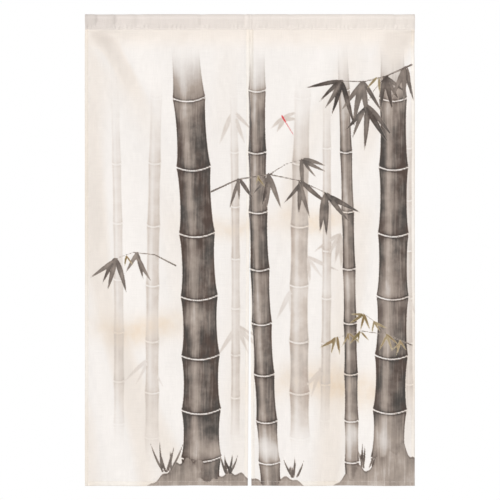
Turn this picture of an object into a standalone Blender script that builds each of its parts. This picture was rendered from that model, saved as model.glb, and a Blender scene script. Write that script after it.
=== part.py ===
"""A noren: a split doorway curtain of two hemmed cloth panels under one sewn rod pocket.

Metres, +Z up. The printed front faces -Y, left and right are as seen from the front, and
the origin is the middle of the top edge. The curtain hangs, so everything is below Z = 0.
"""

import math

import bmesh
import bpy
import numpy as np

# Sizes of the hung curtain. A drop is measured down from the top edge.
HUNG_WIDTH = 0.839
DROP = 1.200
POCKET_DROP = 0.039  # down to the foot of the rod pocket
JOIN_DROP = 0.148  # down to where the sewn join of the panels ends
PART_DROP = 0.510  # down to where daylight starts to show between them
SWUNG_ASIDE = {"left": 0.0052, "right": 0.0036}  # each inner edge at the foot
SWUNG_BACK = {"left": 0.0022, "right": -0.0014}  # the same edges, to the back
HEM = 0.009  # width of the side and inner hems
FOOT_HEM = 0.012

# Thicknesses
CLOTH = 0.0012
HEM_CLOTH = 0.0020  # the cloth with its turned edge sewn down behind it
POCKET_FOOT = 0.0028  # front layer, back layer and turned edge, sewn together
SEAM_GAP = 0.0003  # between pieces that are sewn edge to edge

# The rod pocket, a teardrop in section
CHANNEL_RADIUS = 0.009
CHANNEL_TIP = 0.0006  # width of the channel's lower end, where its layers meet
FOOT_HEIGHT = 0.008  # of the sewn layers below the channel

# Mesh steps
COLUMN_STEP = 0.0145
ROW_STEP = 0.034
HEM_STEP = 0.0006  # over which the hem's thickness starts
ARC_STEPS = 10
SIDE_STEPS = 2
SHARP_FROM = math.radians(50.0)

# Finish of the cloth, with linear colours
CLOTH_COLOUR = (0.88, 0.85, 0.80, 1.0)
POCKET_COLOUR = (0.80, 0.76, 0.71, 1.0)
CLOTH_ROUGHNESS = 0.92

# Soft folds of each panel. line: (x, z) points down the fold. depth: to the front where it is
# positive (a ridge), to the back where it is negative (a trough). fade_in and fade_out: the
# lengths over which the fold rises at its top and dies at its foot.
FOLD_COLUMNS = ("line", "half_width", "depth", "fade_in", "fade_out")
FOLDS = {
    "left": (
        # the trough that comes out of the top corner
        (((-0.318, -0.039), (-0.286, -0.140), (-0.244, -0.235), (-0.190, -0.390)),
         0.046, -0.0072, 0.005, 0.220),
        # the long trough beside the outer edge, which crosses to the foot, and its ridges
        (((-0.434, -0.040), (-0.430, -0.400), (-0.424, -0.780)),
         0.050, 0.0082, 0.020, 0.300),
        (((-0.396, -0.160), (-0.386, -0.290), (-0.368, -0.480), (-0.350, -0.640),
          (-0.316, -0.805), (-0.256, -0.935), (-0.194, -1.060), (-0.128, -1.200)),
         0.046, -0.0092, 0.360, 0.000),
        (((-0.262, -0.330), (-0.234, -0.560), (-0.208, -0.740), (-0.176, -0.920)),
         0.048, 0.0038, 0.200, 0.220),
        (((-0.412, -0.640), (-0.374, -0.815), (-0.350, -0.940), (-0.318, -1.060), (-0.290, -1.200)),
         0.041, 0.0072, 0.300, 0.000),
        (((-0.440, -0.900), (-0.436, -1.050), (-0.430, -1.200)),
         0.034, 0.0050, 0.160, 0.000),
        # the shallow ones in the middle of the panel
        (((-0.092, -0.060), (-0.104, -0.200), (-0.140, -0.400)),
         0.055, 0.0026, 0.060, 0.160),
        (((-0.140, -0.420), (-0.124, -0.560), (-0.110, -0.700)),
         0.040, -0.0024, 0.120, 0.160),
        (((-0.070, -0.600), (-0.066, -0.900), (-0.056, -1.200)),
         0.044, 0.0016, 0.260, 0.000),
    ),
    "right": (
        # the ridge that runs down to the end of the join, and the trough beside it
        (((0.240, -0.050), (0.186, -0.180), (0.112, -0.300), (0.072, -0.430), (0.064, -0.620)),
         0.056, 0.0056, 0.080, 0.200),
        (((0.156, -0.320), (0.140, -0.460), (0.112, -0.660)),
         0.037, -0.0040, 0.120, 0.180),
        # the trough from the top corner, and the ridge along the outer edge
        (((0.414, -0.042), (0.384, -0.170), (0.334, -0.320), (0.290, -0.480)),
         0.040, -0.0058, 0.050, 0.200),
        (((0.410, -0.130), (0.404, -0.310), (0.410, -0.520)),
         0.024, 0.0022, 0.090, 0.160),
        # the long ones down to the foot
        (((0.222, -0.420), (0.196, -0.600), (0.178, -0.800), (0.150, -1.200)),
         0.050, 0.0046, 0.200, 0.000),
        (((0.330, -0.420), (0.300, -0.700), (0.262, -0.960), (0.245, -1.200)),
         0.048, -0.0068, 0.220, 0.000),
        (((0.398, -0.600), (0.376, -0.880), (0.350, -1.200)),
         0.040, 0.0050, 0.220, 0.000),
        (((-0.004, -0.560), (-0.006, -0.930), (-0.006, -1.200)),
         0.048, -0.0046, 0.260, 0.000),
    ),
}
PINNED_OVER = 0.030  # below the pocket, over which the folds reach their full depth

# Beside the join, and where the inner edges touch below it, the folds are nearly flat
MIDDLE_REACH = 0.045
MIDDLE_FLATTENED = 0.8
FREED_DROP = 0.410  # down to where the folds begin to reach the inner edges
FREED_OVER = 0.200

# Small gathers of the pocket, where a rod has pushed the cloth together. depth: outwards.
GATHER_COLUMNS = ("x", "half_width", "depth")
GATHERS = (
    (-0.392, 0.011, -0.0013),
    (-0.368, 0.012, 0.0008),
    (-0.340, 0.010, -0.0010),
    (-0.283, 0.013, -0.0008),
    (-0.196, 0.020, 0.0006),
    (-0.118, 0.014, -0.0006),
    (-0.018, 0.010, -0.0009),
    (0.030, 0.012, 0.0006),
    (0.131, 0.016, -0.0006),
    (0.236, 0.011, -0.0010),
    (0.262, 0.012, 0.0006),
    (0.352, 0.014, -0.0008),
    (0.404, 0.010, -0.0008),
)


def eased(t):
    """0 up to t = 0, 1 from t = 1, and a smooth S between them."""
    t = np.clip(t, 0.0, 1.0)
    return t * t * (3.0 - 2.0 * t)


def bell(distance, half_width):
    """1 at the middle, 0.37 at half_width, and soon nothing."""
    return np.exp(-((distance / half_width) ** 2))


def rows(columns, table):
    """A table's rows as dictionaries by column name."""
    return [dict(zip(columns, row)) for row in table]


def fold_depth(fold, x, z):
    """How far one fold moves the cloth to the front at (x, z): a bell across the fold's line,
    whose slope makes the distance across it shorter than the one along X."""
    line_x, line_z = np.array(fold["line"]).T
    drop, line_drop = -z, -line_z
    centre = np.interp(drop, line_drop, line_x)
    slope = np.interp(drop, line_drop, np.gradient(line_x, line_drop))
    across = (x - centre) / np.sqrt(1.0 + slope * slope)
    strength = eased((drop - line_drop[0]) / fold["fade_in"])
    if fold["fade_out"]:
        strength = strength * eased((line_drop[-1] - drop) / fold["fade_out"])
    return fold["depth"] * strength * bell(across, fold["half_width"])


def panel_edges(side, z):
    """X of a panel's outer and inner edges at height z."""
    outward = -1.0 if side == "left" else 1.0
    aside = SWUNG_ASIDE[side] * np.clip((-z - PART_DROP) / (DROP - PART_DROP), 0.0, 1.0)
    return outward * HUNG_WIDTH / 2, outward * (SEAM_GAP / 2 + aside)


def front_of_panel(side, x, z):
    """Y of a panel's front face: its folds added up, held straight at the pocket and beside the
    join, with the inner edge swung a little to the back or the front."""
    forward = sum(fold_depth(fold, x, z) for fold in rows(FOLD_COLUMNS, FOLDS[side]))
    near_middle = bell(x, MIDDLE_REACH)
    held = 1.0 - eased((-z - FREED_DROP) / FREED_OVER)
    forward = forward * (1.0 - MIDDLE_FLATTENED * near_middle * held)
    forward = forward * eased((-z - POCKET_DROP) / PINNED_OVER)
    back = SWUNG_BACK[side] * near_middle * eased((-z - JOIN_DROP) / (DROP - JOIN_DROP))
    return back - forward - CLOTH / 2


def even_steps(begin, end, step):
    """Even values from begin to end, about step apart."""
    return np.linspace(begin, end, max(2, round(abs(end - begin) / step) + 1))


def grid_lines(length, hem_edges, step):
    """Distances along a length, even but for two close ones where each hem's edge lies."""
    marks = [0.0]
    for edge in hem_edges:
        marks += [edge - HEM_STEP / 2, edge + HEM_STEP / 2]
    marks.append(length)
    stretches = [even_steps(a, b, step) for a, b in zip(marks, marks[1:])]
    return np.concatenate([stretches[0]] + [stretch[1:] for stretch in stretches[1:]])


def make_material(name, colour):
    material = bpy.data.materials.new(name)
    material.use_nodes = True
    shader = material.node_tree.nodes["Principled BSDF"]
    shader.inputs["Base Color"].default_value = colour
    shader.inputs["Roughness"].default_value = CLOTH_ROUGHNESS
    shader.inputs["Metallic"].default_value = 0.0
    return material


def add_object(name, bm, material):
    mesh = bpy.data.meshes.new(name)
    bm.to_mesh(mesh)
    bm.free()
    mesh.materials.append(material)
    mesh.shade_smooth()
    mesh.set_sharp_from_angle(angle=SHARP_FROM)
    obj = bpy.data.objects.new(name, mesh)
    bpy.context.scene.collection.objects.link(obj)
    return obj


def make_panel(side, material):
    """One hemmed panel: its front face is a grid, and Solidify gives it the cloth's thickness
    behind that face, with more where the hem is turned over."""
    width = HUNG_WIDTH / 2
    top = POCKET_DROP + SEAM_GAP
    from_outer = grid_lines(width, (HEM, width - HEM), COLUMN_STEP)
    drops = top + grid_lines(DROP - top, (DROP - top - FOOT_HEM,), ROW_STEP)
    share, z = np.meshgrid(from_outer / width, -drops)
    outer, inner = panel_edges(side, z)
    x = outer + (inner - outer) * share
    y = front_of_panel(side, x, z)

    bm = bmesh.new()
    verts = [[bm.verts.new(point) for point in row] for row in np.stack([x, y, z], axis=-1)]
    for upper, lower in zip(verts, verts[1:]):
        for i in range(len(upper) - 1):
            corners = [upper[i], lower[i], lower[i + 1], upper[i + 1]]
            bm.faces.new(corners if side == "left" else corners[::-1])
    panel = add_object(f"panel_{side}", bm, material)

    from_edge = np.minimum(share, 1.0 - share) * width
    hemmed = (from_edge < HEM) | (z < FOOT_HEM - DROP)
    group = panel.vertex_groups.new(name="hem")
    group.add([int(i) for i in np.flatnonzero(hemmed)], 1.0, "REPLACE")
    sheet = panel.modifiers.new("thickness", "SOLIDIFY")
    sheet.thickness = HEM_CLOTH
    sheet.offset = -1.0
    sheet.vertex_group = group.name
    sheet.thickness_vertex_group = CLOTH / HEM_CLOTH
    return panel


def teardrop(radius, centre_z, foot_half_width, foot_z):
    """(y, z) points of a teardrop and their outward normals, from its front foot over the top
    to its back foot: a straight side tangent to the round top, the top, and the other side."""
    height = centre_z - foot_z
    tangent_turn = math.atan2(foot_half_width, height)
    tangent_turn += math.acos(radius / math.hypot(foot_half_width, height))
    turn = np.linspace(tangent_turn, math.pi, 1 + ARC_STEPS // 2)  # from straight down, to the front
    arc = np.stack([-radius * np.sin(turn), centre_z - radius * np.cos(turn)], axis=1)
    foot = np.array([-foot_half_width, foot_z])
    side = foot + (arc[0] - foot) * np.linspace(0.0, 1.0, SIDE_STEPS + 1)[:-1, None]
    front = np.concatenate([side, arc])
    back = front[-2::-1] * (-1.0, 1.0)
    points = np.concatenate([front, back])
    along = np.gradient(points, axis=0)
    normals = np.stack([-along[:, 1], along[:, 0]], axis=1)
    return points, normals / np.linalg.norm(normals, axis=1)[:, None]


def gathered(x):
    """How far the pocket's gathers push its layers outwards at x."""
    return sum(row["depth"] * bell(x - row["x"], row["half_width"])
               for row in rows(GATHER_COLUMNS, GATHERS))


def make_pocket(material):
    """The rod pocket: an outer and an inner teardrop carried along the whole width, joined by
    a rim at both open ends. Its edges are turned in there, which makes the wall thicker."""
    centre_z = -CLOTH - CHANNEL_RADIUS
    outside, outside_normals = teardrop(
        CHANNEL_RADIUS + CLOTH, centre_z, POCKET_FOOT / 2, -POCKET_DROP)
    inside, inside_normals = teardrop(
        CHANNEL_RADIUS, centre_z, CHANNEL_TIP / 2, FOOT_HEIGHT - POCKET_DROP)
    loose = eased((outside[:, 1:] + POCKET_DROP - FOOT_HEIGHT / 2) / FOOT_HEIGHT)
    from_left = grid_lines(HUNG_WIDTH, (HEM, HUNG_WIDTH - HEM), COLUMN_STEP)

    bm = bmesh.new()
    rings = []
    for x in from_left - HUNG_WIDTH / 2:
        turned_in = HEM_CLOTH - CLOTH if abs(x) > HUNG_WIDTH / 2 - HEM else 0.0
        outer = outside + outside_normals * gathered(x) * loose
        inner = inside + inside_normals * (gathered(x) - turned_in) * loose
        outer[:, 1] = np.minimum(outer[:, 1], 0.0)
        rings.append([[bm.verts.new((x, y, z)) for y, z in skin] for skin in (outer, inner)])
    count = len(outside)
    for i in range(count):
        j = (i + 1) % count
        for here, beyond in zip(rings, rings[1:]):
            for skin in (0, 1):
                bm.faces.new([here[skin][i], here[skin][j], beyond[skin][j], beyond[skin][i]])
        for end in (rings[0], rings[-1]):
            bm.faces.new([end[0][i], end[0][j], end[1][j], end[1][i]])
    bmesh.ops.recalc_face_normals(bm, faces=bm.faces)
    return add_object("rod_pocket", bm, material)


def main():
    for obj in list(bpy.data.objects):
        bpy.data.objects.remove(obj)
    make_pocket(make_material("pocket_cloth", POCKET_COLOUR))
    printed = make_material("printed_cloth", CLOTH_COLOUR)
    for side in ("left", "right"):
        make_panel(side, printed)


main()
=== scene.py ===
# %% [markdown]
# A noren is the split curtain of a Japanese doorway. This lesson dresses one: two printed
# panels of thin cloth that hang in soft folds from a sewn sleeve. The solids of the curtain
# are loaded first, as a fixed frame in metres. The printed front faces -Y and the top edge
# is at Z = 0. Each later cell makes one piece or one finish, and prints what it made.

# %% The frame
import math

import bpy
import numpy as np
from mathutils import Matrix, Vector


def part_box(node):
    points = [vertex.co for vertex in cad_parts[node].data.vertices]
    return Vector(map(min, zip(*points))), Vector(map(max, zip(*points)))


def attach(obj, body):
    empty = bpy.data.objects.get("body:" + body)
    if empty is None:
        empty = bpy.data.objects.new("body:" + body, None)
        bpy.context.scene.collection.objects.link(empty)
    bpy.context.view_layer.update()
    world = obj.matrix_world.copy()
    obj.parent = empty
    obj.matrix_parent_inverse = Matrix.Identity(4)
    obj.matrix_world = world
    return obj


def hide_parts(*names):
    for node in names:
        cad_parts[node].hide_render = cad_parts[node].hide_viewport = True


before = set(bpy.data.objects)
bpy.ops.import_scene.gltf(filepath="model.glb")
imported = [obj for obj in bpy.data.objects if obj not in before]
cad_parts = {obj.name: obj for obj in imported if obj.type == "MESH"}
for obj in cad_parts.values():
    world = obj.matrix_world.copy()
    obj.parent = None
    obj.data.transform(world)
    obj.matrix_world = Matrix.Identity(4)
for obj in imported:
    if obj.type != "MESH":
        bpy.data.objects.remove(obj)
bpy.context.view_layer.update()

# %% [markdown]
# The sizes of the real curtain. Its width and the depth of its rod pocket are read from the
# frame, so the pieces made here can't drift away from the solids that they dress. A drop is
# measured down from the top edge, as a curtain maker does.

# %% Sizes
pocket_low, pocket_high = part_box("rod_pocket")
HUNG_WIDTH = pocket_high.x - pocket_low.x
POCKET_DROP = -pocket_low.z
DROP = 1.2
FLAT_PANEL = 0.425  # width of one finished panel before its folds draw it in
JOIN_DROP = 0.148
PART_DROP = 0.51  # from here down the panels part
SWUNG_ASIDE = {"left": 0.0052, "right": 0.0036}  # of the inner edges at the foot
SWUNG_BACK = {"left": 0.0022, "right": -0.0014}
HEM = 0.009
FOOT_HEM = 0.012
SIDES = ("left", "right")
print(f"hung {HUNG_WIDTH:.3f} m wide, {DROP:.3f} m long, pocket {POCKET_DROP * 1000:.0f} mm")

# %% [markdown]
# The photograph looks straight at the curtain, whose outline fills the frame from side to
# side between two pixel columns. A long lens from a few metres away keeps the edges straight.
# The lens follows from similar triangles: sensor over lens is the width seen over distance.

# %% The camera
IMAGE = 500  # pixels across and down
LEFT_PIXEL, RIGHT_PIXEL = 85.0, 414.8  # the curtain's outer edges
TOP_PIXEL, FOOT_PIXEL = 14.2, 485.8
CAMERA_DISTANCE = 5.5
SENSOR = 0.036


def placed(name, data):
    """A new object with that data, in the scene."""
    thing = bpy.data.objects.new(name, data)
    bpy.context.scene.collection.objects.link(thing)
    return thing


seen = DROP / (FOOT_PIXEL - TOP_PIXEL) * IMAGE
camera = placed("camera", bpy.data.cameras.new("camera"))
bpy.context.scene.camera = camera
middle_x = ((LEFT_PIXEL + RIGHT_PIXEL) / 2 - IMAGE / 2) * seen / IMAGE
middle_z = ((TOP_PIXEL + FOOT_PIXEL) / 2 - IMAGE / 2) * seen / IMAGE
camera.location = (-middle_x, -CAMERA_DISTANCE, -DROP / 2 + middle_z)
camera.rotation_euler = (math.pi / 2, 0.0, 0.0)
camera.data.sensor_width = SENSOR * 1000
camera.data.lens = SENSOR * 1000 * CAMERA_DISTANCE / seen
camera.data.clip_end = 100.0
print(f"camera: {seen:.3f} m seen across, lens {camera.data.lens:.0f} mm")

# %% [markdown]
# A curtain on a white page needs light that is nearly even, with just enough from one side
# to show the folds. Three large soft lights do that: a broad one in front, one far off on the
# left whose light is nearly parallel and draws the folds, and a weak one behind for the back.
# The world is white where the camera sees it and dimmer where it lights the cloth. The pale
# floor lies where a doorway's floor would, two metres under the top edge.

# %% Light, floor and backdrop
LIGHTS = (
    # name, place, size, watts
    ("front_light", (2.2, -4.0, 1.4), 2.6, 72.0),
    ("raking_light", (-13.8, -10.8, 3.0), 6.0, 2080.0),
    ("back_light", (3.0, 3.6, 0.4), 2.4, 78.0),
)
LIGHTS_AIM = (0.0, 0.0, -0.6)
WORLD_COLOUR = (1.0, 0.985, 0.965, 1.0)
WORLD_LIGHT = 0.515
FLOOR_COLOUR = (0.86, 0.86, 0.85, 1.0)
FLOOR_ROUGHNESS = 0.9
FLOOR_DROP = 2.0
FLOOR_RADIUS = 3.4
FLOOR_CORNERS = 96

for name, place, size, watts in LIGHTS:
    data = bpy.data.lights.new(name, "AREA")
    data.shape = "DISK"
    data.size = size
    data.energy = watts
    light = placed(name, data)
    light.location = place
    back = np.subtract(place, LIGHTS_AIM)
    tilt = math.atan2(math.hypot(back[0], back[1]), back[2])
    light.rotation_euler = (tilt, 0.0, math.atan2(back[0], -back[1]))

world = bpy.data.worlds.new("studio")
bpy.context.scene.world = world
world.use_nodes = True
sky = world.node_tree
lighting = sky.nodes["Background"]
lighting.inputs["Color"].default_value = WORLD_COLOUR
lighting.inputs["Strength"].default_value = WORLD_LIGHT
seen_white = sky.nodes.new("ShaderNodeBackground")
seen_white.inputs["Color"].default_value = (1.0, 1.0, 1.0, 1.0)
path_kind = sky.nodes.new("ShaderNodeLightPath")
either = sky.nodes.new("ShaderNodeMixShader")
wires = (path_kind.outputs["Is Camera Ray"], lighting.outputs[0], seen_white.outputs[0])
for wire, socket in zip(wires, either.inputs):
    sky.links.new(wire, socket)
sky.links.new(either.outputs[0], sky.nodes["World Output"].inputs["Surface"])

turn = np.linspace(0.0, 2.0 * math.pi, FLOOR_CORNERS + 1)[:-1]
floor_mesh = bpy.data.meshes.new("floor")
rim = [(FLOOR_RADIUS * math.cos(a), FLOOR_RADIUS * math.sin(a), -FLOOR_DROP) for a in turn]
floor_mesh.from_pydata(rim, [], [list(range(len(rim)))])
floor_paint = bpy.data.materials.new("pale_floor")
floor_paint.use_nodes = True
paint = floor_paint.node_tree.nodes["Principled BSDF"].inputs
paint["Base Color"].default_value = FLOOR_COLOUR
paint["Roughness"].default_value = FLOOR_ROUGHNESS
floor_mesh.materials.append(floor_paint)
floor = placed("floor", floor_mesh)
bpy.context.scene.view_settings.view_transform = "Standard"
print("lights:", [row[0] for row in LIGHTS])

# %% [markdown]
# Everything soft is built from two curves: an easing, which goes smoothly from 0 to 1, and
# a bell, which is 1 at its middle and dies away on both sides. A third helper draws a smooth
# line through a few chosen points, which is where a fold runs.

# %% Curves that cloth is made of
def eased(t):
    """0 up to t = 0, 1 from t = 1, and t * t * (3 - 2 * t) between them."""
    t = np.clip(t, 0.0, 1.0)
    return t * t * (3.0 - 2.0 * t)


def bell(distance, half_width):
    """exp(-(distance / half_width) squared)."""
    return np.exp(-((distance / half_width) ** 2))


def smooth_line(points, drop):
    """X and slope at a drop of a line through (x, z) points: between two points a cubic
    whose slopes at both come from their neighbours. The slope is an even blend of the two."""
    knot_x, knot_z = np.array(points).T
    knots = -knot_z
    slopes = np.gradient(knot_x, knots)
    i = np.clip(np.searchsorted(knots, drop) - 1, 0, len(knots) - 2)
    length = knots[i + 1] - knots[i]
    t = np.clip((drop - knots[i]) / length, 0.0, 1.0)
    x = (
        knot_x[i] * (1.0 + 2.0 * t) * (1.0 - t) ** 2
        + knot_x[i + 1] * t * t * (3.0 - 2.0 * t)
        + length * slopes[i] * t * (1.0 - t) ** 2
        - length * slopes[i + 1] * t * t * (1.0 - t)
    )
    return x, slopes[i] * (1.0 - t) + slopes[i + 1] * t


print("easing at the middle:", float(eased(0.5)), " bell at its half width:", round(bell(1.0, 1.0), 2))

# %% [markdown]
# The folds were set until their light and dark looked like the photograph's: troughs that drop from both
# top corners, a long one that leaves the left edge and crosses to the foot, and shallow ones between
# them. Each row holds the fold's line, its half width, its depth (to the front if positive) and the
# lengths over which it rises and dies. The solids use the same table of folds, so both have the same
# form. The small creases under the top corners are too fine for the solids and are only here.

# %% The folds
FOLD_COLUMNS = ("line", "half_width", "depth", "fade_in", "fade_out")
FOLDS = {
    "left": (
        # the trough that comes out of the top corner
        (((-0.318, -0.039), (-0.286, -0.14), (-0.244, -0.235), (-0.19, -0.39)),
         0.046, -0.0072, 0.005, 0.22),
        # the long trough beside the outer edge, which crosses to the foot, and its ridges
        (((-0.434, -0.04), (-0.43, -0.4), (-0.424, -0.78)),
         0.05, 0.0082, 0.02, 0.3),
        (((-0.396, -0.16), (-0.386, -0.29), (-0.368, -0.48), (-0.35, -0.64),
          (-0.316, -0.805), (-0.256, -0.935), (-0.194, -1.06), (-0.128, -1.2)),
         0.046, -0.0092, 0.36, 0.0),
        (((-0.262, -0.33), (-0.234, -0.56), (-0.208, -0.74), (-0.176, -0.92)),
         0.048, 0.0038, 0.2, 0.22),
        (((-0.412, -0.64), (-0.374, -0.815), (-0.35, -0.94), (-0.318, -1.06), (-0.29, -1.2)),
         0.041, 0.0072, 0.3, 0.0),
        (((-0.44, -0.9), (-0.436, -1.05), (-0.43, -1.2)),
         0.034, 0.005, 0.16, 0.0),
        # the shallow ones in the middle of the panel
        (((-0.092, -0.06), (-0.104, -0.2), (-0.14, -0.4)),
         0.055, 0.0026, 0.06, 0.16),
        (((-0.14, -0.42), (-0.124, -0.56), (-0.11, -0.7)),
         0.04, -0.0024, 0.12, 0.16),
        (((-0.07, -0.6), (-0.066, -0.9), (-0.056, -1.2)),
         0.044, 0.0016, 0.26, 0.0),
    ),
    "right": (
        # the ridge that runs down to the end of the join, and the trough beside it
        (((0.24, -0.05), (0.186, -0.18), (0.112, -0.3), (0.072, -0.43), (0.064, -0.62)),
         0.056, 0.0056, 0.08, 0.2),
        (((0.156, -0.32), (0.14, -0.46), (0.112, -0.66)),
         0.037, -0.004, 0.12, 0.18),
        # the trough from the top corner, and the ridge along the outer edge
        (((0.414, -0.042), (0.384, -0.17), (0.334, -0.32), (0.29, -0.48)),
         0.04, -0.0058, 0.05, 0.2),
        (((0.41, -0.13), (0.404, -0.31), (0.41, -0.52)),
         0.024, 0.0022, 0.09, 0.16),
        # the long ones down to the foot
        (((0.222, -0.42), (0.196, -0.6), (0.178, -0.8), (0.15, -1.2)),
         0.05, 0.0046, 0.2, 0.0),
        (((0.33, -0.42), (0.3, -0.7), (0.262, -0.96), (0.245, -1.2)),
         0.048, -0.0068, 0.22, 0.0),
        (((0.398, -0.6), (0.376, -0.88), (0.35, -1.2)),
         0.04, 0.005, 0.22, 0.0),
        (((-0.004, -0.56), (-0.006, -0.93), (-0.006, -1.2)),
         0.048, -0.0046, 0.26, 0.0),
    ),
}
CREASES = {
    "left": (
        (((-0.41, -0.039), (-0.386, -0.07), (-0.358, -0.108), (-0.316, -0.19)),
         0.02, 0.0036, 0.004, 0.09),
        (((-0.374, -0.039), (-0.35, -0.07), (-0.322, -0.108), (-0.274, -0.18), (-0.236, -0.25)),
         0.028, -0.0046, 0.004, 0.13),
        (((-0.15, -0.039), (-0.16, -0.07), (-0.166, -0.11)), 0.014, -0.0007, 0.004, 0.06),
    ),
    "right": (
        (((0.34, -0.039), (0.328, -0.08), (0.306, -0.14)), 0.024, 0.0018, 0.004, 0.06),
        (((0.44, -0.039), (0.43, -0.08), (0.41, -0.15)), 0.05, -0.007, 0.004, 0.07),
        (((0.118, -0.039), (0.128, -0.07), (0.134, -0.11)), 0.014, -0.0007, 0.004, 0.06),
    ),
}
PINNED_OVER = 0.03  # height under the pocket over which folds come free of it
CREASES_PINNED_OVER = 0.01
MIDDLE_REACH = 0.045  # half width of the stretch that the join holds flat
MIDDLE_FLATTENED = 0.8
FREED_DROP = 0.41
FREED_OVER = 0.2
SHADED_SLOPE = 0.16  # steepness that lies wholly in shade
SHADED_BEHIND = 0.25  # share of it on the back, which has its light from elsewhere
SLOPE_STEP = 0.002  # over which a slope is measured
UNDER_POCKET = 1.35  # shade just under the pocket, on the same scale
UNDER_POCKET_DROP = 0.066


def rows(columns, table):
    """A table's rows as dictionaries by column name."""
    return [dict(zip(columns, row)) for row in table]


def fold_forward(fold, x, z):
    """depth * rise * fall * bell(distance across the fold's line)."""
    drop = -z
    first, last = -fold["line"][0][1], -fold["line"][-1][1]
    centre, slope = smooth_line(fold["line"], drop)
    across = (x - centre) / np.sqrt(1.0 + slope * slope)
    strength = eased((drop - first) / fold["fade_in"])
    if fold["fade_out"]:
        strength = strength * eased((last - drop) / fold["fade_out"])
    return fold["depth"] * strength * bell(across, fold["half_width"])


def all_forward(table, x, z):
    """Sum of a table's folds."""
    return sum(fold_forward(fold, x, z) for fold in rows(FOLD_COLUMNS, table))


def hang(side, x, z):
    """Y of the cloth's middle layer: minus the sum of the folds, which are held flat at the
    pocket and beside the join, plus the inner edge's swing to the back."""
    forward = all_forward(FOLDS[side], x, z)
    near_middle = bell(x, MIDDLE_REACH)
    held = 1.0 - eased((-z - FREED_DROP) / FREED_OVER)
    forward = forward * (1.0 - MIDDLE_FLATTENED * near_middle * held)
    forward = forward * eased((-z - POCKET_DROP) / PINNED_OVER)
    creased = all_forward(CREASES[side], x, z)
    forward = forward + creased * eased((-z - POCKET_DROP) / CREASES_PINNED_OVER)
    back = SWUNG_BACK[side] * near_middle * eased((-z - JOIN_DROP) / (DROP - JOIN_DROP))
    return back - forward


def shaded(side, x, z):
    """How far the cloth is in the folds' shade: its slope towards the right, away from the
    light, over SHADED_SLOPE, and a soft band under the pocket."""
    slope = (hang(side, x + SLOPE_STEP, z) - hang(side, x - SLOPE_STEP, z)) / (2.0 * SLOPE_STEP)
    under = UNDER_POCKET * eased((z + POCKET_DROP) / UNDER_POCKET_DROP + 1.0)
    return np.clip(slope / SHADED_SLOPE, 0.0, 1.0) + under


print("folds:", {side: len(FOLDS[side]) for side in SIDES})

# %% [markdown]
# Real cloth is never as smooth as a few bells. It crumples a little all over, more across
# its width than down its drop, because it hangs. A sum of faint waves with seeded
# directions, lengths and phases gives that, the same in every run. A one-way version of it
# makes the puckers beside a line of stitches.

# %% Crumple and pucker
CRUMPLE_WAVES = 44
CRUMPLE_LENGTHS = (0.016, 0.11)  # shortest and longest wave, in metres
CRUMPLE_SLOPE = 0.0075  # steepness of one wave
CRUMPLE_SPREAD = 0.55  # of the waves' headings, in radians
PUCKER_LENGTHS = (0.009, 0.021)
PUCKER_WAVES = 9


def crumple(x, z, seed):
    """Sum of slope * length / (2 pi) * sin(2 pi * distance along the wave / length + phase)."""
    dice = np.random.default_rng(seed)
    total = np.zeros(np.broadcast(x, z).shape)
    for _ in range(CRUMPLE_WAVES):
        length = math.exp(dice.uniform(*np.log(CRUMPLE_LENGTHS)))
        heading = dice.normal(0.0, CRUMPLE_SPREAD)
        along = x * math.cos(heading) + z * math.sin(heading)
        phase = dice.uniform(0.0, 2.0 * math.pi)
        total += length * np.sin(2.0 * math.pi * along / length + phase)
    return total * CRUMPLE_SLOPE / (2.0 * math.pi)


def pucker(along, seed):
    """Uneven ripple of unit height along a stitched line: a mean of sines."""
    dice = np.random.default_rng(seed)
    total = np.zeros(np.shape(along))
    for _ in range(PUCKER_WAVES):
        length = dice.uniform(*PUCKER_LENGTHS)
        total += np.sin(2.0 * math.pi * along / length + dice.uniform(0.0, 2.0 * math.pi))
    return total / math.sqrt(PUCKER_WAVES / 2.0)


sample = crumple(np.linspace(-0.4, 0.4, 400), np.full(400, -0.5), 3)
print(f"crumple is {sample.std() * 1000:.2f} mm either way")

# %% [markdown]
# A hem is the panel's own edge turned to the back and sewn down, so the cloth is thicker
# there, its outer edge is a round fold, and the stitches pull a shallow groove. All of it
# depends on one number, the distance from the nearest edge. The front face rises a little
# over the hem, because the layers inside push it out.

# %% Hems
EDGE_GAP = 0.0003  # between the two panels along the join
CLOTH = 0.0009
HEM_CLOTH = 0.0021
TURNED_EDGE = 0.001  # over which the turned edge ends on the back
STITCH_IN = 0.0013  # the stitches run this far inside the turned edge
GROOVE_DEPTH = 0.00028
GROOVE_HALF_WIDTH = 0.0008
DRAG_DEPTH = 0.00055  # how far the cloth beside the join is dragged in along its hems
DRAG_HALF_WIDTH = 0.003
DRAG_IN = 0.0012  # from the hem to the middle of the drag
DRAG_FREED_OVER = 0.04
FREE_DRAG = 0.35  # share of it that is left below the join
HEM_RISE = 0.00032
PUCKER_HEIGHT = 0.00016
PUCKER_REACH = 0.0075
EDGE_SHADE_REACH = 0.0022  # how far in from its fold the painted shade of a hem's rounded edge reaches
EDGE_ROUNDING = 0.75  # 1 would be a full half round
SQUEEZED_OVER = 0.004  # the pocket's seam presses a hem flat over this height
TUCKED_IN = 0.0007  # and its outer corner lies this far inside the pocket's end


def in_seam(z):
    """0 below the pocket, 1 in its seam."""
    return eased((z + POCKET_DROP) / SQUEEZED_OVER + 1.0)


def panel_edges(side, z):
    """Left and right x of a panel at height z. Its inner edge swings aside below the join."""
    aside = EDGE_GAP / 2 + SWUNG_ASIDE[side] * np.clip((-z - PART_DROP) / (DROP - PART_DROP), 0.0, 1.0)
    outer = HUNG_WIDTH / 2 - TUCKED_IN * in_seam(z)
    return (-outer, -aside) if side == "left" else (aside, outer)


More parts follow.
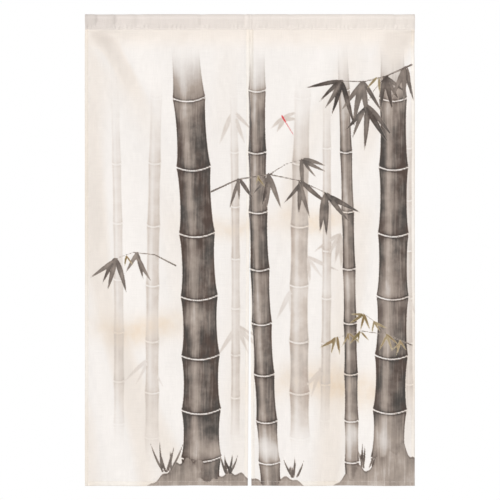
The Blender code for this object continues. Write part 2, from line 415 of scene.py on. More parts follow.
def into_cloth(side, x, z):
    """Distances from the left, the right and the foot edge."""
    left, right = panel_edges(side, z)
    return x - left, right - x, z + DROP


def dragged(inside, z):
    """How far the cloth is pulled to the back beside the hem of the join: a bell over its
    inner edge, at full depth as far as the join goes and weaker below."""
    freed = eased((-z - JOIN_DROP + DRAG_FREED_OVER / 2) / DRAG_FREED_OVER)
    held = 1.0 - (1.0 - FREE_DRAG) * freed
    return DRAG_DEPTH * held * bell(inside - HEM - DRAG_IN, DRAG_HALF_WIDTH)


def edge_draw(inside, thickness):
    """How far a face draws back beside an edge: rounding * thickness / 2 * (1 - sqrt(t * (2 - t))),
    with t from 0 at the edge to 1 at half a hem's thickness inside it."""
    t = np.clip(inside / (HEM_CLOTH / 2), 0.0, 1.0)
    return EDGE_ROUNDING * thickness / 2 * (1.0 - np.sqrt(t * (2.0 - t)))


def hem_profile(inside, hem):
    """(thickness share, groove share) at a distance inside an edge with that hem."""
    thick = 1.0 - eased((inside - hem + TURNED_EDGE / 2) / TURNED_EDGE)
    groove = bell(inside - (hem - STITCH_IN), GROOVE_HALF_WIDTH)
    return thick, groove


print(f"hem {HEM * 1000:.0f} mm, sewn {1000 * (HEM - STITCH_IN):.1f} mm from the edge")

# %% [markdown]
# The panel's two faces are functions of x and z. The front is the hanging middle layer,
# crumpled, puckered and grooved, and drawn back to a half round at the edges. The back
# follows it at the local thickness, measured along the slope.

# %% The panel's front and back faces
SEEDS = {"left": 11, "right": 23}


def panel_faces(side, x, z):
    """(front y, back y, doubled) at (x, z). doubled is 0 on single cloth and 1 over a hem, and rises to
    2 along the outer and the foot edge, where painted shade darkens the hem's rounded fold. Into the
    pocket's seam the hems are pressed flat."""
    left_in, right_in, foot_in = into_cloth(side, x, z)
    seed = SEEDS[side]
    doubled, groove, ripple = np.zeros((3, *np.shape(x)))
    hems = ((left_in, HEM, z, 1), (right_in, HEM, z, 2), (foot_in, FOOT_HEM, x, 3))
    for inside, hem, along, number in hems:
        thick, dip = hem_profile(inside, hem)
        doubled = np.maximum(doubled, thick)
        groove = np.maximum(groove, dip)
        ripple = ripple + pucker(along, seed + number) * bell(inside - hem, PUCKER_REACH)
    middle = hang(side, x, z) + crumple(x, z, seed) * eased((-z - POCKET_DROP) / PINNED_OVER)
    middle = middle + PUCKER_HEIGHT * ripple
    middle = middle + dragged(right_in if side == "left" else left_in, z)
    risen = doubled * (1.0 - in_seam(z))
    thickness = CLOTH + (HEM_CLOTH - CLOTH) * risen
    drawn_in = edge_draw(np.minimum(np.minimum(left_in, right_in), foot_in), thickness)
    front = middle - CLOTH / 2 - HEM_RISE * risen * (1.0 - groove) + GROOVE_DEPTH * groove + drawn_in
    back = middle - CLOTH / 2 + thickness - GROOVE_DEPTH * groove - drawn_in
    # painted shade along the rounded outer and foot edges, carried in doubled above 1
    folded = bell(np.minimum(left_in if side == "left" else right_in, foot_in), EDGE_SHADE_REACH)
    return front, back, doubled + folded


probe = panel_faces("left", np.array([-0.415, -0.2]), np.array([-0.6, -0.6]))
print("thickness over the hem and off it, mm:", np.round((probe[1] - probe[0]) * 1000, 2))

# %% [markdown]
# The grid needs close lines where something small happens, at the hems and their stitches,
# and wide ones elsewhere. The lines are given as a few marks, with even steps between them.
# The number of steps is kept even, because the back face will use every second line.

# %% Grid lines
FINE = 0.0007
CLOSE = 0.0015


def spaced(marks, wide):
    """Values from the first mark to the last, with the step that each mark names for the
    stretch after it, or the wide one. One more value in the middle makes the steps even in
    number where they would be odd."""
    values = [0.0]
    for (begin, step), (end, _) in zip(marks, marks[1:]):
        count = max(1, round((end - begin) / (step or wide)))
        values += list(begin + (end - begin) * np.arange(1, count + 1) / count)
    if len(values) % 2 == 0:
        middle = len(values) // 2
        values.insert(middle, (values[middle - 1] + values[middle]) / 2)
    return np.array(values)


def hem_marks(hem):
    """(distance from the edge, step) marks through a hem: round edge, plateau, stitches."""
    sewn = hem - STITCH_IN
    return [(0.0, FINE / 2), (FINE, FINE), (3 * FINE, CLOSE), (sewn - 2 * FINE, FINE),
            (hem + TURNED_EDGE, CLOSE), (hem + 4 * CLOSE, None)]


def mirrored(marks, length):
    """The same marks from the far end, each with the step of the stretch before it."""
    places = [length - at for at, _ in marks]
    steps = [step for _, step in marks]
    return list(zip(places[::-1], steps[-2::-1] + [None]))


print("marks of a side hem, mm:", [round(at * 1000, 2) for at, _ in hem_marks(HEM)])

# %% [markdown]
# Blender wants a mesh as flat arrays of corners. This maker takes the points, groups of
# faces with equal numbers of corners, a map that is laid out in metres of flat cloth, and
# named values for each point, which the cloth's finish will read. It prints each piece.

# %% From arrays to a mesh
SHARP_FROM = math.radians(60.0)


def make_piece(name, points, face_groups, cloth_map=None, values=None):
    """An object at the origin whose mesh holds these points and faces."""
    mesh = bpy.data.meshes.new(name)
    corners = np.concatenate([faces.ravel() for faces in face_groups]).astype(np.int32)
    sizes = np.concatenate([np.full(len(faces), faces.shape[1]) for faces in face_groups])
    mesh.vertices.add(len(points))
    mesh.vertices.foreach_set("co", np.asarray(points, np.float32).ravel())
    mesh.loops.add(len(corners))
    mesh.loops.foreach_set("vertex_index", corners)
    mesh.polygons.add(len(sizes))
    mesh.polygons.foreach_set("loop_start", (np.cumsum(sizes) - sizes).astype(np.int32))
    mesh.update(calc_edges=True)
    if mesh.validate():
        print(name, "had faults, which were mended")
    if cloth_map is not None:
        layer = mesh.uv_layers.new(name="cloth")
        layer.uv.foreach_set("vector", np.asarray(cloth_map[corners], np.float32).ravel())
    for label, value in (values or {}).items():
        attribute = mesh.attributes.new(label, "FLOAT", "POINT")
        attribute.data.foreach_set("value", np.asarray(value, np.float32).ravel())
    mesh.shade_smooth()
    mesh.set_sharp_from_angle(angle=SHARP_FROM)
    print(name, int(np.sum(sizes - 2)), "triangles")
    return placed(name, mesh)


print("edges are sharp from", round(math.degrees(SHARP_FROM)), "degrees")

# %% [markdown]
# A sheet has a front grid and a back grid. The back shows less, so it takes every second
# line and has a quarter of the faces. Along the rim two front edges meet one back edge in a
# five-cornered face, and that closes the sheet all round. A sleeve is closed in the same
# way, except that its last column meets its first, so that only its two ends have rims.

# %% Closing a piece from two grids
HALF = (slice(None, None, 2),) * 2  # every second line both ways


def quads(index):
    """Four-cornered faces of a grid of point numbers, facing -Y for rows down, columns to +X."""
    corners = [index[:-1, :-1], index[1:, :-1], index[1:, 1:], index[:-1, 1:]]
    return np.stack(corners, axis=-1).reshape(-1, 4)


def rim_faces(front_line, back_line):
    """Five-cornered faces between a line of the front and the half as dense line of the back."""
    return np.stack([front_line[:-2:2], front_line[1:-1:2], front_line[2::2],
                     back_line[1:], back_line[:-1]], axis=-1)


def on_both(value):
    """A value of the front grid's points, followed by the same of the back grid's."""
    return np.concatenate([value.ravel(), value[HALF].ravel()])


def closed(front, back, sleeve=False):
    """Points and face groups of a closed sheet or sleeve from a front and a back grid."""
    shapes = front.shape[:2], back.shape[:2]
    front_index = np.arange(math.prod(shapes[0])).reshape(shapes[0])
    back_index = front_index.size + np.arange(math.prod(shapes[1])).reshape(shapes[1])
    if sleeve:
        front_index, back_index = (np.hstack([i, i[:, :1]]) for i in (front_index, back_index))
    rims = [
        rim_faces(front_index[0], back_index[0]),
        rim_faces(front_index[-1], back_index[-1])[:, ::-1],
    ]
    if not sleeve:
        rims.append(rim_faces(front_index[:, 0], back_index[:, 0])[:, ::-1])
        rims.append(rim_faces(front_index[:, -1], back_index[:, -1]))
    points = np.concatenate([front.reshape(-1, 3), back.reshape(-1, 3)])
    return points, [quads(front_index), quads(back_index)[:, ::-1], np.concatenate(rims)]


print("a 3 by 3 front closes with", len(rim_faces(np.arange(3), np.arange(2))), "face on each side")

# %% [markdown]
# The print is an ink painting of the kind that such curtains often carry: bamboo in a mist,
# with a few coloured leaves. It is a common subject, drawn here with shapes of its own. A
# printed edge has to stay crisp from close by, so the points of the cloth don't hold colours.
# They hold signed distances, in metres, from the edge of a brush stroke, which run evenly
# between the points, and the finish turns them into an edge. Each layer of the print has
# such a distance and a strength of ink.

# %% Brush strokes as distances
FAR_OFF = 0.05  # distance of points with no stroke near
LEAF_WIDEST = 0.32  # share of a leaf's length
LEAF_TAPER = 1.6


class Layer:
    """A layer of the print: the distance from the nearest stroke's edge, negative inside,
    and the strength of that stroke's ink."""

    def __init__(self, x, z):
        self.x, self.z = x, z
        self.edge = np.full(x.shape, FAR_OFF)
        self.ink = np.zeros(x.shape)

    def add(self, distance, ink):
        """Keeps the least distance at every point, with the ink of its stroke."""
        nearer = distance < self.edge
        self.edge = np.where(nearer, distance, self.edge)
        self.ink = np.where(nearer, ink, self.ink)


def capsule(x, z, start, end, radius, end_radius):
    """Distance from a straight stroke: distance from the segment minus a radius, which
    changes evenly from start to end."""
    dx, dz = end[0] - start[0], end[1] - start[1]
    t = np.clip(((x - start[0]) * dx + (z - start[1]) * dz) / (dx * dx + dz * dz), 0.0, 1.0)
    away = np.hypot(x - start[0] - t * dx, z - start[1] - t * dz)
    return away - radius - (end_radius - radius) * t


def leaf(x, z, start, heading, length, width, bend):
    """Distance from a leaf: across minus a half width that swells quickly from the stem and
    narrows to the tip, along a line that bends aside by bend * length at the tip. Heading is
    measured from straight down, towards +X."""
    down, aside = math.cos(heading), math.sin(heading)
    along = ((x - start[0]) * aside - (z - start[1]) * down) / length
    across = (x - start[0]) * down + (z - start[1]) * aside - bend * length * along * along
    t = np.clip(along, 0.0, 1.0)
    widest = LEAF_WIDEST
    swell = np.sqrt(np.clip(1.0 - ((widest - np.minimum(t, widest)) / widest) ** 2, 0.0, 1.0))
    taper = 1.0 - ((np.maximum(t, widest) - widest) / (1.0 - widest)) ** LEAF_TAPER
    half = width / 2 * swell * taper
    outside = np.hypot(np.maximum(np.abs(across) - half, 0.0), (along - t) * length)
    return np.where(outside > 0.0, outside, np.abs(across) - half)


sample = capsule(0.0, 0.002, (-0.01, 0.0), (0.01, 0.0), 0.0015, 0.0015)
print(f"2 mm from the middle of a stroke 3 mm wide its edge is {sample * 1000:.1f} mm away")

# %% [markdown]
# A culm is the stem of a bamboo. A painter draws it upwards in one pull for each length
# between two joints, pressing at both ends, so each length is narrow in its middle, darker
# at its ends and along its sides, and parted from the next by a thin curved line of bare
# cloth. Joints stand closer together near the ground.

# %% Culms
CULM_COLUMNS = ("foot", "head", "widths", "bow", "lengths", "ink")
NEAR_CULMS = (
    ((-0.122, -1.215), (-0.172, -0.03), (0.112, 0.082), 0.014, 8, 1.3),
    ((0.052, -1.215), (0.02, -0.03), (0.06, 0.044), -0.012, 9, 0.98),
    ((0.262, -1.215), (0.236, -0.03), (0.04, 0.03), 0.006, 9, 0.8),
    ((0.352, -1.215), (0.366, -0.03), (0.096, 0.07), 0.01, 8, 1.16),
)
FAR_CULMS = (
    ((-0.336, -1.12), (-0.352, -0.06), (0.03, 0.022), 0.004, 8, 0.28),
    ((-0.25, -1.16), (-0.236, -0.04), (0.04, 0.03), -0.006, 8, 0.38),
    ((-0.034, -1.14), (-0.046, -0.06), (0.026, 0.02), 0.004, 9, 0.38),
    ((0.128, -1.16), (0.142, -0.04), (0.056, 0.042), -0.008, 8, 0.66),
    ((0.19, -1.1), (0.196, -0.06), (0.028, 0.021), 0.005, 9, 0.42),
    ((0.414, -1.1), (0.412, -0.06), (0.02, 0.016), -0.004, 9, 0.36),
)
NEAR_FADE = (0.075, 0.34)  # drops between which a culm comes out of the mist
FAR_FADE = (0.14, 0.48)
FAR_FOOT_FADE = 0.2  # length of a far culm's foot that stands in the mist
JOINT_GAP = 0.0036
JOINT_CURVE = 0.24  # how far a joint's line bends, as a share of the culm's half width
JOINT_SPREAD = 0.8  # under 1, joints are closer near the foot
JOINT_SHADE = 0.24  # beside a joint, over the distance JOINT_SHADE_OVER
JOINT_SHADE_OVER = 0.009
WAIST = 0.15  # share of its width that a length loses in its middle
WAIST_POWER = 0.6  # under 1, the narrow stretch is long
BODY_SHADE = 0.8
SIDE_SHADE = 0.28
SIDE_SHADE_POWER = 2.2
GLEAM = 0.42  # how much paler a culm is left of its middle
GLEAM_AT = -0.3
GLEAM_HALF_WIDTH = 0.26
LENGTH_INKS = (0.84, 1.1)  # weakest and strongest ink of one length


def culm(layer, dice, fade, foot_fade, foot, head, widths, bow, lengths, ink):
    """Adds a culm. Along it, t goes from foot to head, and the centre line bows aside by
    4 * bow * t * (1 - t). Joints lie at (i / lengths) ** (1 / JOINT_SPREAD). Each length has
    its own strength of ink, and its shade is dark on both sides and pale left of the middle.
    It comes out of the mist between the drops in fade, and over foot_fade at its foot."""
    axis = np.subtract(head, foot)
    length = math.hypot(*axis)
    up = axis / length
    along = (layer.x - foot[0]) * up[0] + (layer.z - foot[1]) * up[1]
    t = along / length
    across = (layer.x - foot[0]) * up[1] - (layer.z - foot[1]) * up[0] - 4.0 * bow * t * (1.0 - t)
    half = (widths[0] + (widths[1] - widths[0]) * np.clip(t, 0.0, 1.0)) / 2
    joints = length * (np.arange(lengths + 1) / lengths) ** (1.0 / JOINT_SPREAD)
    bent = along + JOINT_CURVE * half * (1.0 - np.clip(np.abs(across) / half, 0.0, 1.0) ** 2)
    which = np.clip(np.searchsorted(joints, bent) - 1, 0, lengths - 1)
    below, above = bent - joints[which], joints[which + 1] - bent
    in_length = np.clip(below / (joints[which + 1] - joints[which]), 0.0, 1.0)
    waist = 1.0 - WAIST * (4.0 * in_length * (1.0 - in_length)) ** WAIST_POWER
    distance = np.maximum(np.abs(across) - half * waist, JOINT_GAP / 2 - np.minimum(below, above))
    distance = np.maximum(distance, np.maximum(-along, along - length))
    side = across / half
    shade = BODY_SHADE + SIDE_SHADE * np.abs(side) ** SIDE_SHADE_POWER
    shade = shade - GLEAM * bell(side - GLEAM_AT, GLEAM_HALF_WIDTH)
    shade = shade + JOINT_SHADE * bell(np.minimum(below, above), JOINT_SHADE_OVER)
    shade = shade * dice.uniform(*LENGTH_INKS, lengths)[which]
    clear = eased((-layer.z - fade[0]) / (fade[1] - fade[0]))
    if foot_fade:
        clear = clear * eased(along / foot_fade)
    layer.add(distance, ink * shade * clear)


print("culms:", len(NEAR_CULMS), "near and", len(FAR_CULMS), "far")

# %% [markdown]
# Leaves hang in sprays from the tips of thin twigs. One row gives a spray: where it hangs,
# how many leaves it has, the heading of its middle, how widely it fans, the length of its
# leaves and the strength of its ink. The leaves themselves are placed by a loop with seeded
# dice, so that no two sprays are alike and every run gives the same ones.

# %% Twigs and sprays
SPRAY_COLUMNS = ("at", "leaves", "heading", "fan", "length", "ink")
TWIG_COLUMNS = ("points", "width", "ink")
NEAR_TWIGS = (
    (((-0.1, -0.452), (-0.03, -0.42), (0.05, -0.408), (0.13, -0.424), (0.196, -0.455)), 0.0042, 0.85),
    (((0.05, -0.408), (0.092, -0.382), (0.134, -0.37)), 0.003, 0.8),
    (((-0.19, -0.64), (-0.245, -0.612), (-0.3, -0.606), (-0.346, -0.622)), 0.0034, 0.75),
    (((0.4175, -0.128), (0.35, -0.158), (0.292, -0.172), (0.236, -0.17)), 0.0042, 0.9),
    (((0.35, -0.158), (0.318, -0.196), (0.3, -0.232)), 0.003, 0.85),
)
NEAR_SPRAYS = (
    ((0.196, -0.455), 5, 0.45, 1.45, 0.105, 0.95),
    ((0.13, -0.424), 4, 0.1, 1.3, 0.092, 0.8),
    ((0.05, -0.408), 4, -0.2, 1.2, 0.086, 0.9),
    ((0.134, -0.37), 4, 0.8, 1.3, 0.082, 0.7),
    ((-0.03, -0.42), 3, 0.1, 1.0, 0.078, 0.85),
    ((-0.346, -0.622), 4, -0.35, 1.4, 0.084, 0.8),
    ((-0.29, -0.606), 3, 0.05, 1.0, 0.076, 0.7),
    ((0.236, -0.17), 5, -0.55, 1.5, 0.112, 1.0),
    ((0.292, -0.172), 4, -0.1, 1.3, 0.104, 0.85),
    ((0.3, -0.232), 5, 0.05, 1.6, 0.108, 0.95),
    ((0.35, -0.158), 4, 0.3, 1.1, 0.09, 0.9),
    ((0.404, -0.134), 4, -0.1, 0.8, 0.086, 0.8),
)
FAR_SPRAYS = (
    ((-0.046, -0.25), 4, 0.3, 1.3, 0.08, 0.28),
    ((0.15, -0.62), 4, 0.4, 1.4, 0.08, 0.32),
    ((0.23, -0.56), 5, -0.25, 1.5, 0.088, 0.36),
    ((0.1, -0.7), 4, 0.2, 1.4, 0.076, 0.28),
    ((0.4, -0.7), 4, -0.35, 1.2, 0.08, 0.3),
    ((-0.262, -0.88), 4, -0.25, 1.3, 0.078, 0.22),
    ((-0.03, -0.79), 5, 0.3, 1.5, 0.086, 0.32),
    ((0.18, -0.9), 4, -0.2, 1.3, 0.074, 0.26),
)
OCHRE_TWIGS = (
    (((0.4175, -0.842), (0.352, -0.815), (0.286, -0.806), (0.222, -0.824)), 0.003, 0.8),
    (((0.352, -0.815), (0.318, -0.78), (0.292, -0.762)), 0.0024, 0.75),
)
OCHRE_SPRAYS = (
    ((0.222, -0.824), 4, -0.5, 1.5, 0.046, 0.95),
    ((0.254, -0.814), 3, 0.2, 1.3, 0.038, 0.85),
    ((0.286, -0.806), 3, -0.1, 1.4, 0.042, 0.9),
    ((0.292, -0.762), 4, -0.6, 1.7, 0.044, 0.9),
    ((0.318, -0.78), 3, 0.5, 1.2, 0.038, 0.8),
    ((0.352, -0.815), 3, 0.2, 1.3, 0.042, 0.9),
    ((0.39, -0.831), 3, -0.1, 1.1, 0.04, 0.8),
    ((0.02, -0.412), 2, 0.1, 0.9, 0.04, 0.85),
    ((-0.318, -0.612), 2, 0.2, 1.0, 0.042, 0.85),
    ((0.33, -0.16), 2, -0.4, 0.9, 0.042, 0.85),
)
LEAF_SHAPE = 0.135  # width over length
LEAF_LENGTHS = (0.72, 1.12)  # ranges of chance for one leaf, shares unless a unit is named
LEAF_WIDTHS = (0.8, 1.15)
LEAF_INKS = (0.72, 1.05)
LEAF_BENDS = (-0.1, 0.1)
LEAF_TURNS = (-0.12, 0.12)  # in radians
LEAF_STARTS = (-0.004, 0.004)  # in metres
TWIG_THINNING = 0.6  # share of its width that a twig loses up to its tip


def twigs(layer, table):
    """Adds twigs as runs of capsules that thin out towards their tips."""
    for row in rows(TWIG_COLUMNS, table):
        count = len(row["points"]) - 1
        for i, (start, end) in enumerate(zip(row["points"], row["points"][1:])):
            first, last = (row["width"] / 2 * (1.0 - TWIG_THINNING * k / count) for k in (i, i + 1))
            layer.add(capsule(layer.x, layer.z, start, end, first, last), row["ink"])


def sprays(layer, table, seed):
    """Adds the leaves of each spray, fanned evenly with a little chance in each."""
    dice = np.random.default_rng(seed)
    for row in rows(SPRAY_COLUMNS, table):
        for heading in row["heading"] + row["fan"] * np.linspace(-0.5, 0.5, row["leaves"]):
            length = row["length"] * dice.uniform(*LEAF_LENGTHS)
            width = length * LEAF_SHAPE * dice.uniform(*LEAF_WIDTHS)
            bend = dice.uniform(*LEAF_BENDS)
            start = np.add(row["at"], dice.uniform(*LEAF_STARTS, 2))
            turned = heading + dice.uniform(*LEAF_TURNS)
            ink = row["ink"] * dice.uniform(*LEAF_INKS)
            layer.add(leaf(layer.x, layer.z, start, turned, length, width, bend), ink)


print("leaves:", sum(row[1] for row in NEAR_SPRAYS + FAR_SPRAYS + OCHRE_SPRAYS))

# %% [markdown]
# Under the bamboo lie two low rocks in a wet wash, with grass on them, and mist drifts
# across in bands of tan. A dragonfly in faded red is the one bright touch. Rocks are the
# space under the highest of a few bells. Mist isn't a stroke, so it is only a strength.

# %% Rocks, grass, mist and a dragonfly
ROCK_FOOT = -1.215
ROCK_RIPPLE = 0.1  # share of a rock's height
ROCK_RIPPLE_WAVES = 190.0  # in radians to the metre
ROCK_RIPPLE_SHIFT = 40.0  # the same for the rock's own place, so that no two are alike
ROCK_STEEPNESS = 1.5  # height under the line over distance from it, about
ROCK_INK_SPREAD = 1.3  # in half widths of the rock
ROCK_SHADE = 0.52
ROCK_TOP_SHADE = 0.48
ROCK_TOP_OVER = 0.022
ROCK_COLUMNS = ("x", "half_width", "height", "ink")
ROCKS = (
    (-0.15, 0.085, 0.085, 0.8),
    (-0.04, 0.08, 0.048, 0.62),
    (0.09, 0.055, 0.036, 0.5),
    (0.372, 0.074, 0.13, 0.85),
    (0.28, 0.055, 0.062, 0.64),
)
GRASS_COLUMNS = ("at", "leaves", "fan", "length")
GRASS = (
    ((-0.212, -1.166), 7, 1.1, 0.084),
    ((-0.05, -1.172), 6, 1.2, 0.066),
    ((0.112, -1.18), 6, 1.2, 0.056),
    ((0.296, -1.156), 5, 0.9, 0.074),
)
BLADE_LENGTHS = (0.6, 1.1)
BLADE_STARTS = (-0.012, 0.012)
BLADE_TURNS = (-0.1, 0.1)
BLADE_INKS = (0.6, 0.95)
BLADE_WIDTH = 0.0052
BLADE_BEND = 0.25  # of its lean
MIST_COLUMNS = ("at", "half_sizes", "strength")
TAN_MIST = (
    ((0.225, -0.945), (0.18, 0.044), 0.8),
    ((-0.27, -0.8), (0.12, 0.034), 0.75),
    ((-0.04, -0.54), (0.11, 0.026), 0.5),
    ((0.18, -0.52), (0.09, 0.03), 0.7),
)
PALE_MIST = (
    ((0.19, -1.09), (0.26, 0.05), 0.95),
    ((0.23, -0.7), (0.2, 0.036), 0.55),
    ((-0.2, -0.78), (0.24, 0.036), 0.5),
    ((-0.06, -1.11), (0.12, 0.03), 0.6),
)
MIST_DRIFT = 0.35  # how far a band waves up and down, in its half heights
MIST_WAVES = 3.0  # in radians to its half width
MIST_SHIFT = 20.0
DRAGONFLY = (0.084, -0.262)
DRAGONFLY_TURN = 0.55
BODY_LENGTH = 0.054
CHEST_LENGTH = BODY_LENGTH * 0.24
BODY_PARTS = (
    # begin, end, radius, end radius, ink
    (0.0, CHEST_LENGTH, 0.0026, 0.0022, 1.0),
    (CHEST_LENGTH, BODY_LENGTH, 0.0013, 0.0009, 0.85),
    (-0.0035, -0.003, 0.0021, 0.0021, 0.9),
)
WING_WIDTH = 0.0095
WING_BEND = 0.05
WING_INK = 0.34
WINGS = ((0.002, 1.45, 0.042), (0.008, 1.15, 0.037))  # start, turn, length


def rocks(layer):
    """Adds the rocks: the space under the highest of some rippled bells over ROCK_FOOT."""
    line = np.full(layer.x.shape, ROCK_FOOT)
    ink = np.zeros(layer.x.shape)
    for row in rows(ROCK_COLUMNS, ROCKS):
        hump = row["height"] * bell(layer.x - row["x"], row["half_width"])
        phase = layer.x * ROCK_RIPPLE_WAVES + row["x"] * ROCK_RIPPLE_SHIFT
        hump = hump * (1.0 + ROCK_RIPPLE * np.sin(phase))
        line = np.maximum(line, ROCK_FOOT + hump)
        reach = row["half_width"] * ROCK_INK_SPREAD
        ink = np.maximum(ink, row["ink"] * bell(layer.x - row["x"], reach))
    below_top = (line - layer.z) / ROCK_STEEPNESS
    shade = ROCK_SHADE + ROCK_TOP_SHADE * bell(below_top, ROCK_TOP_OVER)
    layer.add(-below_top, ink * shade)


def grass(layer, seed):
    """Adds tufts of blades that fan upwards and bend the way they lean."""
    dice = np.random.default_rng(seed)
    for row in rows(GRASS_COLUMNS, GRASS):
        for lean in row["fan"] * np.linspace(-0.5, 0.5, row["leaves"]):
            length = row["length"] * dice.uniform(*BLADE_LENGTHS)
            start = np.add(row["at"], (dice.uniform(*BLADE_STARTS), 0.0))
            heading = math.pi - lean + dice.uniform(*BLADE_TURNS)
            blade = leaf(layer.x, layer.z, start, heading, length, BLADE_WIDTH, BLADE_BEND * lean)
            layer.add(blade, dice.uniform(*BLADE_INKS))


def mist(x, z, table):
    """Sum of strength * bell of the distance measured in half sizes, along a wavy band."""
    total = np.zeros(x.shape)
    for row in rows(MIST_COLUMNS, table):
        aside = (x - row["at"][0]) / row["half_sizes"][0]
        drift = MIST_DRIFT * np.sin(aside * MIST_WAVES + row["at"][1] * MIST_SHIFT)
        upright = (z - row["at"][1]) / row["half_sizes"][1] + drift
        total += row["strength"] * np.exp(-(aside**2) - upright**2)
    return np.clip(total, 0.0, 1.0)


def dragonfly(body, wings):
    """Adds the body as two capsules and a head, and four wings as leaves."""
    x, z = DRAGONFLY
    down, aside = math.cos(DRAGONFLY_TURN), math.sin(DRAGONFLY_TURN)

    def at(along):
        return x + aside * along, z - down * along

    for begin, end, radius, end_radius, ink in BODY_PARTS:
        body.add(capsule(body.x, body.z, at(begin), at(end), radius, end_radius), ink)
    for start, turn, length in WINGS:
        for hand in (-1.0, 1.0):
            heading = DRAGONFLY_TURN + hand * turn
            bend = -WING_BEND * hand
            wing = leaf(wings.x, wings.z, at(start), heading, length, WING_WIDTH, bend)
            wings.add(wing, WING_INK)


print("mist bands:", len(TAN_MIST) + len(PALE_MIST))

# %% [markdown]
# All layers are worked out for the points of one panel and returned as named values. The
# pale mist thins the layers behind it, and the top of the panel stays bare cloth.

# %% The print of a panel
PRINT_SEEDS = {"culms": 3, "far": 5, "near": 7, "ochre": 13, "grass": 17}
FAR_VEILED = 0.92  # share of the far ink that pale mist takes at most
NEAR_VEILED = 0.8


def print_values(x, z):
    """Edge and ink of every layer at flat cloth places (x, z)."""
    far, near, leaves, ochre, red = (Layer(x, z) for _ in range(5))
    dice = np.random.default_rng(PRINT_SEEDS["culms"])
    for row in rows(CULM_COLUMNS, FAR_CULMS):
        culm(far, dice, FAR_FADE, FAR_FOOT_FADE, **row)
    sprays(far, FAR_SPRAYS, PRINT_SEEDS["far"])
    rocks(near)
    for row in rows(CULM_COLUMNS, NEAR_CULMS):
        culm(near, dice, NEAR_FADE, 0.0, **row)
    twigs(leaves, NEAR_TWIGS)
    sprays(leaves, NEAR_SPRAYS, PRINT_SEEDS["near"])
    grass(leaves, PRINT_SEEDS["grass"])
    twigs(leaves, OCHRE_TWIGS)
    sprays(ochre, OCHRE_SPRAYS, PRINT_SEEDS["ochre"])
    dragonfly(red, far)
    veil = mist(x, z, PALE_MIST)
    far.ink = far.ink * (1.0 - FAR_VEILED * veil)
    near.ink = near.ink * (1.0 - NEAR_VEILED * veil)
    values = {"tan_mist": mist(x, z, TAN_MIST)}
    layers = {"far": far, "near": near, "leaves": leaves, "ochre": ochre, "red": red}
    for name, layer in layers.items():
        values[f"{name}_edge"] = layer.edge
        values[f"{name}_ink"] = layer.ink
    return values


print("layers:", [name for name in print_values(np.zeros(1), np.zeros(1)) if name.endswith("_ink")])

# %% [markdown]
# Now the panels. The grid runs from edge to edge at every height, so its columns follow the
# swinging inner edge. The top of a panel is caught between the layers of the pocket, as the
# seam holds it, and shows from just under them.

# %% The panels
COLUMN_STEP = 0.0029
ROW_STEP = 0.003
CAUGHT = 0.003  # height that is hidden in the pocket's seam


def panel_lines():
    """Distances across, as shares of the width, and drops of the grid lines."""
    width = HUNG_WIDTH / 2
    across = spaced(hem_marks(HEM) + mirrored(hem_marks(HEM), width), COLUMN_STEP) / width
    length = DROP - POCKET_DROP + CAUGHT
    down = spaced([(0.0, None)] + mirrored(hem_marks(FOOT_HEM), length), ROW_STEP)
    return across, POCKET_DROP - CAUGHT + down


def make_panel(side):
    """A closed sheet of cloth with its print: front grid, and a back grid of every second line."""
    across, drops = panel_lines()
    share, z = np.meshgrid(across, -drops)
    left, right = panel_edges(side, z)
    x = left + (right - left) * share
    front_y, back_y, doubled = panel_faces(side, x, z)
    flat_x = (share - (1.0 if side == "left" else 0.0)) * FLAT_PANEL
    front = np.stack([x, front_y, z], axis=-1)
    back = np.stack([x, back_y, z], axis=-1)[HALF]
    points, faces = closed(front, back)
    values = {name: on_both(value) for name, value in print_values(flat_x, z).items()}
    values["doubled"] = on_both(doubled)
    values["shaded"] = on_both(shaded(side, x, z))
    values["shaded"][x.size:] *= SHADED_BEHIND
    values["face"] = np.concatenate([np.ones(x.size), np.zeros(x[HALF].size)])
    cloth_map = np.stack([on_both(flat_x), on_both(z)], axis=-1)
    return make_piece(f"panel_{side}_cloth", points, faces, cloth_map, values)


panels = {side: make_panel(side) for side in SIDES}

# %% [markdown]
# The rod pocket is a sleeve: the tops of both panels, turned to the back and sewn down. With
# a thin rod in it the sleeve would be a teardrop, and an empty one keeps that form. Its
# outline, seen from the end, is drawn densely and then shared out into even steps. Below the
# seam the layers lie flat together in a narrow lip, which catches the light as a pale line.

# %% The sleeve's outline
CHANNEL_RADIUS = 0.009
POCKET_WALL = 0.0012
CHANNEL_TIP = 0.0006
FOOT_HEIGHT = 0.008
LIP = 0.0042  # height of the flat lip under the seam
LIP_HALF = 0.0013  # half the lip's thickness
LEAST_PUSHED = 0.55  # share of a half thickness by which the skin may move in at most
RING_POINTS = 84
ARC_POINTS = 60
LIP_POINTS = 9


def round_side(radius, centre_z, foot_half, foot_z):
    """(y, z) points of the front half of a teardrop: a straight side from its foot, tangent
    to the round top, and the top as an arc."""
    height = centre_z - foot_z
    begin = math.atan2(foot_half, height) + math.acos(radius / math.hypot(foot_half, height))
    turn = np.linspace(begin, math.pi, ARC_POINTS)
    arc = np.stack([-radius * np.sin(turn), centre_z - radius * np.cos(turn)], axis=1)
    return np.concatenate([[(-foot_half, foot_z)], arc])


def closed_outline(front, count):
    """A front half and its mirror image as a ring of that many evenly spaced points, which
    begins at the lowest point, with outward normals."""
    line = np.concatenate([front, (front * (-1.0, 1.0))[-2::-1]])
    run = np.concatenate([[0.0], np.cumsum(np.hypot(*np.diff(line, axis=0).T))])
    at = np.linspace(0.0, run[-1], count + 1)[:-1]
    ring = np.stack([np.interp(at, run, line[:, 0]), np.interp(at, run, line[:, 1])], axis=1)
    along = np.roll(ring, -1, axis=0) - np.roll(ring, 1, axis=0)
    normals = np.stack([-along[:, 1], along[:, 0]], axis=1)
    return ring, normals / np.linalg.norm(normals, axis=1)[:, None]


